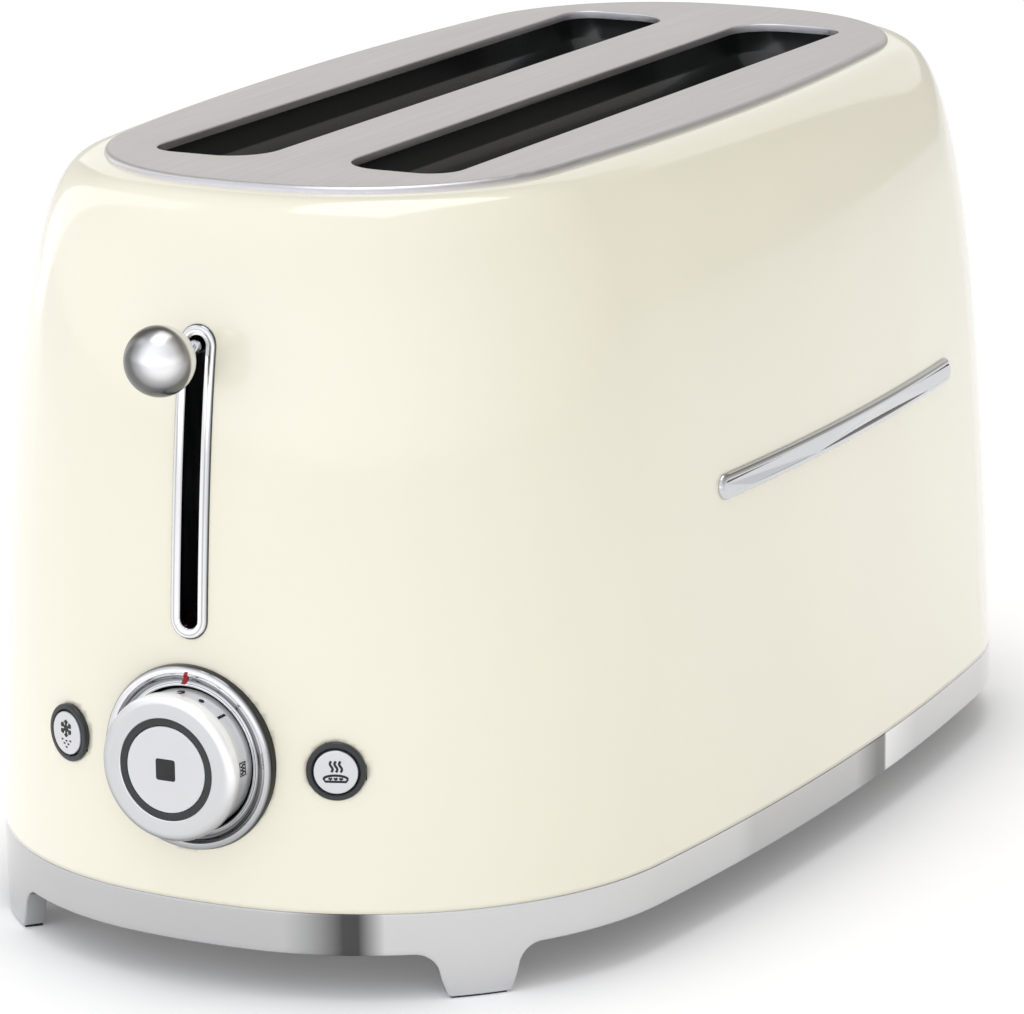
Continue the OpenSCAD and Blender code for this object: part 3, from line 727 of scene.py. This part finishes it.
def make_top_plate():
    """Rolled edge, flat face, underside and a turned-down collar round each slot."""
    lip = 1.6 * MM
    turn = 0.4 * MM
    steps = dict(ends=10, corners=40, sides=20)
    rows = [ring(PLATE_EDGE + 1.2 * MM, SHELL_TOP, **steps)]
    rows.append(ring(PLATE_EDGE + 0.15 * MM, SHELL_TOP + 0.02 * MM, **steps))
    for i in range(9):
        t = math.pi / 2 * i / 8
        rows.append(ring(PLATE_EDGE + lip * (1 - math.cos(t)), TOP - lip * (1 - math.sin(t)),
                         **steps))
    edge = grid_piece("edge", rows)
    holes = [slot_outline(side, turn) for side in (1, -1)]
    flat = flat_with_holes("flat", [tuple(p) for p in outline(PLATE_EDGE + lip, **steps)],
                           holes, TOP)
    under = flat_with_holes("under", [tuple(p) for p in outline(PLATE_EDGE + 1.2 * MM, **steps)],
                            holes, TOP - 1.2 * MM)
    collars = []
    for side in (1, -1):
        rows = []
        for i in range(6):
            t = math.pi / 2 * i / 5
            grow = turn * (1 - math.sin(t))
            z = TOP - turn * (1 - math.cos(t))
            rows.append([(x, y, z) for x, y in slot_outline(side, grow)])
        rows.append([(x, y, TOP - 2.2 * MM) for x, y in slot_outline(side, 0)])
        rows.append([(x, y, TOP - 2.2 * MM) for x, y in slot_outline(side, turn)])
        rows.append([(x, y, TOP - 1.2 * MM) for x, y in slot_outline(side, turn)])
        collars.append(grid_piece("collar", rows))
    plate = join("brushed_top_plate", [edge, flat, under] + collars)
    weld(plate)
    finish_piece(plate, PLATE, "housing", "brushed_plate", "top_plate")


def make_liners():
    """Black pressed walls: straight, then leaning in, then a rolled bead and a straight skirt."""
    for side, name in ((1, "left"), (-1, "right")):
        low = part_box(name + "_slot_liner")[0].z
        section = [(0.05, TOP - 2.25 * MM), (0.05, TOP - 8 * MM), (-0.3, TOP - 9 * MM),
                   (-2.0, TOP - 14 * MM)]
        section += [(-2.2 - 0.7 * math.sin(t), TOP - 14.8 * MM + 0.7 * MM * math.cos(t))
                    for t in np.linspace(0.2, math.pi, 9)]
        section += [(-1.6, TOP - 16.2 * MM), (-1.3, TOP - 17 * MM), (-1.3, low),
                    (-0.5, low), (-0.5, TOP - 17 * MM), (0.9, TOP - 13 * MM),
                    (0.9, TOP - 1.3 * MM)]
        rows = [[(x, y, z) for x, y in slot_outline(side, grow * MM, 12)]
                for grow, z in section]
        liner = grid_piece(name + "_black_liner", rows, wrap_rows=True)
        finish_piece(liner, LINER, "housing", "black_enamel", name + "_slot_liner")


# ---------------------------------------------------------------- base band and feet
FOOT_TURN = math.radians(45)
FOOT_LOW = 8.5 * MM
FOOT_FILLET = 7 * MM
PAD_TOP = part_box("foot_pads")[1].z


def band_bottom(distance):
    """Height of the band's lower edge at a distance along the outline from a foot's middle."""
    slope = 2.0 * MM
    d = abs(distance) - FOOT_LOW
    if d <= 0:
        return PAD_TOP
    rise = BAND_LOW - PAD_TOP - FOOT_FILLET
    if d < slope:
        return PAD_TOP + rise * d / slope
    d -= slope
    if d < FOOT_FILLET:
        return BAND_LOW - FOOT_FILLET + math.sqrt(FOOT_FILLET ** 2 - (FOOT_FILLET - d) ** 2)
    return BAND_LOW


def make_band():
    """Band and feet in one skin: a rounded rim, the outer wall, the lower edge, the inner wall."""
    steps = dict(ends=12, corners=150, sides=30)
    loop = outline(0, **steps)
    lows = []
    for x, y in loop:
        dx = abs(x - MID) - CORNER[0]
        dy = abs(y) - CORNER[1]
        turn = math.atan2(dy, dx) if dx > 0 and dy > 0 else (0 if dx > 0 else math.pi / 2)
        lows.append(band_bottom((turn - FOOT_TURN) * CORNER_R))
    lows = np.array(lows)
    depth = (BAND_LOW - lows) / (BAND_LOW - PAD_TOP)
    wall = 1.2 * MM
    thick = wall + 4.6 * MM * np.clip(depth * 3, 0, 1)
    rows = []

    def row(insets, heights):
        # each point moves inwards along its own arc's radius
        a = outline(0, **steps)
        b = outline(1 * MM, **steps)
        points = a + (b - a) * (np.asarray(insets) / MM)[:, None]
        rows.append(np.column_stack([points, heights]))

    ones = np.ones(len(loop))
    edge = 0.5 * MM
    quarter = [math.pi / 2 * i / 4 for i in range(5)]
    for t in quarter:
        row(ones * edge * (1 - math.sin(t)), ones * (BAND_TOP - edge * (1 - math.cos(t))))
    for i in range(1, 8):
        row(ones * 0, BAND_TOP - edge - (BAND_TOP - edge - lows - edge) * i / 8)
    for t in quarter:
        row(ones * edge * (1 - math.cos(t)), lows + edge * (1 - math.sin(t)))
    for t in quarter:
        row(thick - edge * (1 - math.sin(t)), lows + edge * (1 - math.cos(t)))
    row(thick, np.maximum(lows + 1 * MM, BAND_LOW - 0.4 * MM))
    row(ones * wall, np.full(len(loop), BAND_LOW + 0.9 * MM))
    row(ones * wall, np.full(len(loop), BAND_TOP))
    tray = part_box("crumb_tray_front")

    def keeps(p):
        # the crumb tray's front fills this gap in the band
        return not (p[0] > MID + 0.1 and tray[0].y - 0.3 * MM < p[1] < tray[1].y + 0.3 * MM
                    and p[2] > tray[0].z - 1.6 * MM)

    band = grid_piece("chrome_base_band", rows, wrap_rows=True, keep=keeps)
    finish_piece(band, BAND, "housing", "chrome", "base_band")


# ---------------------------------------------------------------- knob, bezels and buttons
DRUM_R = 18.6 * MM
DRUM_MID = -191.6 * MM + MID
RIM_R = 24.9 * MM
RIM_FRONT = 188.6 * MM


def make_knob():
    """Drum and cap in one turned piece, with a well in which the stop button travels."""
    front = -CAP_FRONT + MID
    cap_r = 19.6 * MM
    dark_r = 13.7 * MM
    disc_r = 11.6 * MM
    well = disc_r + 0.2 * MM
    back = 186.6 * MM
    neck = front - 4.8 * MM
    bore = 3 * MM
    cap = [(bore, back), (DRUM_R - 0.3 * MM, back)]
    cap += [(DRUM_R, back + 0.3 * MM), (DRUM_R, neck)]
    cap += arc((cap_r - 0.5 * MM, neck + 0.5 * MM), 0.5 * MM, -90, 0, 4)
    cap += arc((cap_r - 2.4 * MM, front - 2.4 * MM), 2.4 * MM, 0, 90, 10)
    cap += [(dark_r + 0.15 * MM, front), (dark_r, front - 0.15 * MM)]
    cap += [(dark_r, front - 0.7 * MM), (well, front - 0.7 * MM)]
    cap += [(well, front - 4.3 * MM), (bore, front - 4.3 * MM)]
    knob = turned("knob_body", cap, KNOB_PLACE, 128)
    finish_piece(knob, CAP_SATIN_PAINTED_LIGHT, "browning_knob", "satin_chrome", "knob_cap")
    dark = [(well, front - 0.75 * MM), (dark_r - 0.03 * MM, front - 0.75 * MM)]
    dark += [(dark_r - 0.03 * MM, front - 0.35 * MM), (well + 0.2 * MM, front - 0.3 * MM)]
    dark += [(well, front - 0.4 * MM)]
    band = turned("knob_dark_ring", dark, KNOB_PLACE, 96)
    finish_piece(band, DARK_RING, "browning_knob", "dark_ring")
    disc = [(AXIS_R, front - 2 * MM), (disc_r, front - 2 * MM), (disc_r, front - 0.5 * MM)]
    disc += arc((disc_r - 0.45 * MM, front - 0.5 * MM), 0.45 * MM, 0, 90, 5)
    disc += [(disc_r * 0.5, front - 0.03 * MM), (AXIS_R, front - 0.03 * MM)]
    button = turned("stop_disc", disc, KNOB_PLACE, 96, closed=False)
    finish_piece(button, SATIN, "stop_key", "satin_chrome", "stop_button")


def rim_profile():
    """The dished rim: a round outer crest, a hollow, and a small inner crest."""
    r = RIM_R
    f = RIM_FRONT
    points = [(r - 1.4 * MM, f - 5.6 * MM), (r, f - 5.6 * MM), (r, f - 1.6 * MM)]
    points += arc((r - 1.6 * MM, f - 1.6 * MM), 1.6 * MM, 12, 130, 12)
    points += arc((r - 3.75 * MM, f + 0.35 * MM), 1.6 * MM, 305, 235, 8)[1:]
    points += arc((r - 5.05 * MM, f - 1.1 * MM), 0.45 * MM, 50, 180, 6)
    return points + [(r - 5.5 * MM, f - 2.0 * MM), (r - 5.5 * MM, f - 5.6 * MM)]


def make_knob_bezel():
    bezel = turned("knob_chrome_bezel", rim_profile(), KNOB_PLACE, 160)
    finish_piece(bezel, BEZEL_CHROME, "housing", "chrome", "knob_bezel")


def make_pointer():
    """A red bar across the rim's front, leaning to the right at its top."""
    section = ((-0.8, -0.3), (-0.5, 0), (0.5, 0), (0.8, -0.3), (0.8, -1.2), (-0.8, -1.2))
    lean = -0.42
    inner = RIM_R - 5 * MM
    outer = RIM_R - 1.2 * MM
    middle = RIM_R - 3.2 * MM
    rows = []
    for distance, height in reversed(rim_profile()):
        if not inner < distance < outer or height < RIM_FRONT - 2 * MM:
            continue
        aside = lean * (distance - middle)
        lift = min(max(height, RIM_FRONT - 1.0 * MM) + 0.22 * MM, RIM_FRONT)
        rows.append([tuple(KNOB_PLACE @ Vector((distance, aside + y * MM, lift + z * MM)))
                     for y, z in section])
    pointer = grid_piece("red_pointer", rows, caps=True)
    finish_piece(pointer, RED, "housing", "pointer_red", "pointer_mark")


def on_drum(angle, across, along, lift):
    """A point on the knob's drum: angle from the top in degrees, clockwise from the front."""
    turn = math.radians(angle) + across / DRUM_R
    r = DRUM_R + lift
    return (DRUM_MID + along, -r * math.sin(turn), KNOB_Z + r * math.cos(turn))


def glyph(text, size):
    """The outline of one digit from the built-in font, as a flat mesh centred on its middle."""
    curve = bpy.data.curves.new("digit", "FONT")
    curve.body = text
    curve.size = size
    curve.offset = size * 0.022
    curve.resolution_u = 4
    curve.align_x = "CENTER"
    curve.align_y = "CENTER"
    holder = bpy.data.objects.new("digit", curve)
    bpy.context.scene.collection.objects.link(holder)
    bpy.context.view_layer.update()
    mesh = bpy.data.meshes.new_from_object(holder)
    bpy.data.objects.remove(holder)
    return mesh


FIRST_NUMBER_ANGLE = 42
NUMBER_STEP = 41
REHEAT_ANGLE = 88
DOT_R = 0.75 * MM


def make_drum_marks():
    """Browning numbers one to six with dots between them, and a reheat sign."""
    parts = []
    for number in range(1, 7):
        angle = FIRST_NUMBER_ANGLE - NUMBER_STEP * (number - 1)
        mesh = glyph(str(number), 5.0 * MM)
        for vert in mesh.vertices:
            vert.co = on_drum(angle, vert.co.x, vert.co.y, 0.1 * MM)
        digit = bpy.data.objects.new("digit", mesh)
        bpy.context.scene.collection.objects.link(digit)
        parts.append(digit)
        if number < 6:
            dot = [on_drum(angle - NUMBER_STEP / 2, DOT_R * math.cos(t), DOT_R * math.sin(t),
                           0.1 * MM) for t in np.linspace(0, 2 * math.pi, 16, endpoint=False)]
            parts.append(new_piece("dot", dot, [tuple(range(16))], smooth=False))
    marks = join("browning_marks", parts)
    solid = marks.modifiers.new("ink", "SOLIDIFY")
    solid.thickness = 0.14 * MM
    solid.offset = 0
    finish_piece(marks, PRINT, "browning_knob", "black_plastic")
    lines = []
    frame_path = [(-1.7, -1.4), (1.7, -1.4), (1.7, 1.4), (-1.7, 1.4)]
    lines.append([(a, b) for a, b in frame_path] + [frame_path[0]])
    for k in (-0.9, 0, 0.9):
        lines.append([(k + 0.3 * math.sin(t * 2 * math.pi), -0.9 + 1.8 * t)
                      for t in np.linspace(0, 1, 13)])
    tubes = [sweep("line", [on_drum(REHEAT_ANGLE, a * MM, b * MM, 0.02 * MM) for a, b in path],
                   0.21 * MM, 8) for path in lines]
    sign = join("reheat_sign", tubes)
    finish_piece(sign, PRINT, "browning_knob", "black_plastic")


def sign_on(name, place, lines, width, height, body):
    """Raised strokes on a button face; lines hold (right, up) points in millimetres."""
    tubes = []
    for path in lines:
        tube = sweep("line", [(up * MM, -right * MM, 0) for right, up in path], width / 2, 8)
        for vert in tube.data.vertices:
            vert.co.z *= 0.35
            vert.co = place @ (vert.co + Vector((0, 0, height)))
        tubes.append(tube)
    sign = join(name, tubes)
    sign.data.polygons.foreach_set("use_smooth", [True] * len(sign.data.polygons))
    return finish_piece(sign, PRINT, body, "black_plastic")


def snowflake_lines():
    lines = []
    for i in range(6):
        t = math.radians(60 * i + 90)
        tip = (2.3 * math.cos(t), 1.3 + 2.3 * math.sin(t))
        lines.append([(0, 1.3), tip])
        for bend in (-38, 38):
            b = t + math.radians(bend)
            root = (1.35 * math.cos(t), 1.3 + 1.35 * math.sin(t))
            lines.append([root, (root[0] + 0.85 * math.cos(b), root[1] + 0.85 * math.sin(b))])
    for right, up in ((-1.7, -1.7), (-0.85, -2.7), (0, -1.9), (0.85, -2.7), (0, -3.6),
                      (1.7, -1.7)):
        lines.append([(right, up), (right, up - 0.35)])
    return lines


def bun_lines():
    lines = []
    for k in (-1.1, 0.1, 1.3):
        lines.append([(k + 0.35 * math.sin(2 * math.pi * t), 0.1 + 2.9 * t)
                      for t in np.linspace(0, 1, 14)])
    dome = [(3.1 * math.cos(t), -1.75 + 0.95 * math.sin(t)) for t in np.linspace(0, math.pi, 22)]
    base = [(-3.1, -1.75), (-2.7, -2.45), (2.7, -2.45), (3.1, -1.75)]
    lines.append(dome + base[1:])
    for k in (-1.4, 0, 1.4):
        lines.append([(k - 0.45, -1.5), (k, -1.85), (k + 0.45, -1.5)])
    return lines


def make_signs():
    sign_on("frost_sign", BUTTON_PLACES[1], snowflake_lines(), 0.8 * MM, 1.44 * MM,
            "defrost_key")
    sign_on("bun_sign", BUTTON_PLACES[-1], bun_lines(), 0.66 * MM, 1.44 * MM, "bagel_key")
    front = -CAP_FRONT + MID
    half = 2.9 * MM
    corner = 0.7 * MM
    loop = []
    for sx, sy, start in ((1, 1, 0), (-1, 1, 90), (-1, -1, 180), (1, -1, 270)):
        for i in range(6):
            t = math.radians(start + 90 * i / 5)
            loop.append((sx * (half - corner) + corner * math.cos(t),
                         sy * (half - corner) + corner * math.sin(t)))
    rows = []
    for shrink, height in ((0, -0.1), (0, -0.04), (0.06, 0.0)):
        scale = 1 - shrink * MM / half
        rows.append([tuple(KNOB_PLACE @ Vector((x * scale, y * scale, front + height * MM)))
                     for x, y in loop])
    square = grid_piece("stop_sign", rows, caps=True)
    finish_piece(square, PRINT, "stop_key", "black_plastic")


def make_buttons():
    for side, key, name in ((1, "defrost_key", "defrost"), (-1, "bagel_key", "bagel")):
        place = BUTTON_PLACES[side]
        outer = [(5.95 * MM, -3 * MM), (6.8 * MM, -3 * MM), (6.8 * MM, -0.6 * MM),
                 (7.8 * MM, -0.6 * MM), (7.8 * MM, 0.5 * MM)]
        outer += arc((7.2 * MM, 0.5 * MM), 0.6 * MM, 0, 90, 5)
        outer += [(6.5 * MM, 1.1 * MM), (6.1 * MM, 0.7 * MM), (5.95 * MM, 0.2 * MM)]
        collar = turned(name + "_dark_collar", outer, place, 72)
        finish_piece(collar, DARK_RING, "housing", "dark_ring", name + "_button_ring")
        face = [(AXIS_R, -1.4 * MM), (5.8 * MM, -1.4 * MM), (5.8 * MM, 1.0 * MM)]
        face += arc((5.4 * MM, 1.0 * MM), 0.4 * MM, 0, 90, 4)
        face += [(3 * MM, 1.42 * MM), (AXIS_R, 1.44 * MM)]
        button = turned(name + "_disc", face, place, 72, closed=False)
        finish_piece(button, SATIN, key, "satin_chrome", name + "_button")


def obround(radius, straight, end_steps, side_steps):
    """A slot's outline, long in its second direction, anticlockwise from its right."""
    loop = []
    for sign in (1, -1):
        for i in range(end_steps):
            t = math.pi * i / (end_steps - 1)
            loop.append((sign * math.cos(t) * radius, sign * (straight + math.sin(t) * radius)))
        for i in range(1, side_steps):
            loop.append((-sign * radius, sign * straight * (1 - 2 * i / side_steps)))
    return loop


def make_slot_bezel():
    """Chromed obround frame that follows the leaning end face."""
    section = [(0.05, -1.2), (0.05, 0.35), (0.25, 0.65), (0.8, 0.9), (1.5, 1.0), (2.2, 0.85),
               (2.7, 0.5), (2.9, 0.1), (2.9, -0.6), (1.4, -1.2)]
    inner = BEZEL_HALF_W - BEZEL_RIM
    rows = []
    for out, proud in section:
        row = []
        for y, z in obround(inner + out * MM, BEZEL_STRAIGHT, 24, 40):
            place = end_face(y, z + BEZEL_MID_Z)[0]
            row.append((place.x - proud * MM, y, z + BEZEL_MID_Z))
        rows.append(row)
    rim = grid_piece("lever_slot_chrome", rows, wrap_rows=True)
    finish_piece(rim, SLOT_CHROME, "housing", "chrome", "lever_slot_bezel")


def make_lever():
    """A ball with a flat back, on a stem with a round collar."""
    place = Matrix.Translation((BALL.x, 0, BALL.z)) @ Matrix.Rotation(-math.pi / 2, 4, "Y")
    stem_r = 2 * MM
    stem_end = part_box("lever_arm")[1].x - BALL.x
    ball_cut = 7 * MM
    seat = 4.2 * MM
    profile_points = [(AXIS_R, -seat), (stem_r, -seat), (stem_r, -ball_cut), (5.9 * MM, -ball_cut)]
    profile_points += arc((0, 0), BALL_R, -48.5, 89.9, 40)
    ball = turned("lever_knob_ball", profile_points, place, 96, closed=False)
    finish_piece(ball, BALL_CHROME, "lever_carriage", "chrome", "lever_ball")
    collar_back = 8.4 * MM
    edge = 0.4 * MM
    edge_at = 4.5 * MM
    stem = [(AXIS_R, -stem_end), (stem_r, -stem_end), (stem_r, -collar_back)]
    stem += arc((edge_at, edge - collar_back), edge, -90, 0, 4)
    stem += arc((edge_at, -ball_cut - edge), edge, 0, 90, 4)
    stem += [(stem_r, -ball_cut), (stem_r - 0.1 * MM, -seat - 0.1 * MM),
             (AXIS_R, -seat - 0.1 * MM)]
    arm = turned("lever_stem", stem, place, 64, closed=False)
    finish_piece(arm, CHROME, "lever_carriage", "bright_steel", "lever_arm")


def make_trim_bar():
    """A crowned bar with round ends that follows the curve of the long side."""
    lo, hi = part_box("side_trim_bar")
    half_l = (hi.x - lo.x) / 2
    half_h = (hi.z - lo.z) / 2
    mid_x = (lo.x + hi.x) / 2
    mid_z = (lo.z + hi.z) / 2
    rows = []
    section = [(0.0, -0.3), (0.0, 0.5), (0.12, 0.8), (0.4, 1.15), (0.9, 1.38), (1.6, 1.4)]
    for inner, proud in section:
        row = []
        r = half_h - inner * MM
        straight = half_l - half_h
        for sign, start in ((1, -90), (-1, 90)):
            for i in range(17):
                t = math.radians(start + 180 * i / 16)
                row.append((sign * straight + r * math.cos(t), r * math.sin(t)))
            for i in range(1, 60):
                row.append((sign * straight * (1 - 2 * i / 60), sign * r))
        points = []
        for x, z in row:
            radius = SIDE_R - inset_at(mid_z + z)
            y = math.sqrt(radius ** 2 - (mid_x + x - MID) ** 2) - (SIDE_R - HALF_WID)
            points.append((mid_x + x, -(y + proud * MM), mid_z + z))
        rows.append(points)
    bar = grid_piece("side_trim_chrome", rows)
    bm = bmesh.new()
    bm.from_mesh(bar.data)
    width = len(rows[0])
    bm.verts.ensure_lookup_table()
    top = [bm.verts[(len(rows) - 1) * width + j] for j in range(width)]
    # one face closes the crown, and one the back
    bmesh.ops.contextual_create(bm, geom=top)
    low = [bm.verts[j] for j in range(width)]
    bmesh.ops.contextual_create(bm, geom=low)
    bmesh.ops.recalc_face_normals(bm, faces=bm.faces)
    bm.to_mesh(bar.data)
    bm.free()
    finish_piece(bar, CHROME, "housing", "chrome", "side_trim_bar")


# ---------------------------------------------------------------- stage, light and camera
ROOM_FRONT = (-0.93, 0.06, 0.34)
WARM_TINT = (1, 0.96, 0.87, 1)
COOL_TINT = (0.975, 0.995, 1.05, 1)
ROOM_DARK = 0.04
ROOM_LIGHT = 1.12
HORIZON_LIGHT = 0.5
FLOOR_GLOW = 0.13


def make_stage():
    bpy.ops.mesh.primitive_plane_add(size=12, location=(0, 0, 0))
    floor = bpy.context.object
    floor.name = "pale_floor"
    paint = Paint("floor_paint", Roughness=0.9)
    paint.blotches(srgb(250, 250, 250), 0.004, 3)
    paint.shader.inputs["Emission Color"].default_value = (1, 0.99, 0.98, 1)
    paint.shader.inputs["Emission Strength"].default_value = FLOOR_GLOW
    floor.data.materials.append(paint.material)


def softbox(name, place, along, size, radiance, target=(0, 0, 0.1)):
    """A soft area light: its long side runs along a direction, its face looks at the target."""
    data = bpy.data.lights.new(name, "AREA")
    data.shape = "RECTANGLE"
    data.size, data.size_y = size
    data.energy = radiance * math.pi * size[0] * size[1]
    light = bpy.data.objects.new(name, data)
    bpy.context.scene.collection.objects.link(light)
    back = (Vector(place) - Vector(target)).normalized()
    side = (Vector(along) - back * back.dot(Vector(along))).normalized()
    turn = Matrix((side, back.cross(side), back)).transposed()
    light.matrix_world = Matrix.Translation(place) @ turn.to_4x4()


def make_light():
    """A pale room that is brighter to the front and near the floor, with three soft boxes."""
    world = bpy.data.worlds.new("studio")
    bpy.context.scene.world = world
    world.use_nodes = True
    room = Nodes(world.node_tree)
    background = room.tree.nodes["Background"]
    direction = room.node("ShaderNodeTexCoord").outputs["Generated"]
    front = room.along(direction, ROOM_FRONT)
    spread = room.between(front, -1, 1, ROOM_DARK, ROOM_LIGHT)
    horizon = room.between(room.axes(direction)[2], 0.5, -0.05, 0, HORIZON_LIGHT, "SMOOTHSTEP")
    room.put(room.math("ADD", spread, horizon), background.inputs["Strength"])
    tint = room.mix(room.between(front, -0.6, 0.8), WARM_TINT, COOL_TINT)
    room.put(tint, background.inputs["Color"])
    softbox("overhead", (0.1, 0.0, 1.9), (1, 0, 0), (1.6, 1.0), 1.9)
    softbox("left_strip", (0.04, 1.15, 0.68), (-0.62, -0.30, 0.72), (1.9, 0.35), 0.62)
    softbox("behind", (2.2, 0.6, 1.1), (-0.25, 1, 0), (2.9, 1.2), 0.47)


CAMERA_PLACE = Vector((-1.3281 + MID, -0.6912, 0.4691))
CAMERA_YAW = 0.4816
CAMERA_PITCH = -0.2508
CAMERA_ROLL = 0.0102
CAMERA_LENS = 189.2707


def make_camera():
    data = bpy.data.cameras.new("camera")
    camera = bpy.data.objects.new("camera", data)
    bpy.context.scene.collection.objects.link(camera)
    level = math.cos(CAMERA_PITCH)
    forward = Vector((level * math.cos(CAMERA_YAW), level * math.sin(CAMERA_YAW),
                      math.sin(CAMERA_PITCH)))
    side = Vector((math.sin(CAMERA_YAW), -math.cos(CAMERA_YAW), 0))
    above = side.cross(forward)
    right = side * math.cos(CAMERA_ROLL) - above * math.sin(CAMERA_ROLL)
    up = above * math.cos(CAMERA_ROLL) + side * math.sin(CAMERA_ROLL)
    turn = Matrix((right, up, -forward)).transposed()
    camera.matrix_world = Matrix.Translation(CAMERA_PLACE) @ turn.to_4x4()
    data.sensor_width = 36
    data.lens = CAMERA_LENS
    data.clip_start = 0.05
    bpy.context.scene.camera = camera


make_camera()
make_light()
make_stage()
paint_cad_nodes()
make_shell()
make_top_plate()
make_liners()
make_band()
make_knob()
make_knob_bezel()
make_pointer()
make_drum_marks()
make_buttons()
make_signs()
make_slot_bezel()
make_lever()
make_trim_bar()
bpy.context.scene.view_settings.view_transform = "Standard"
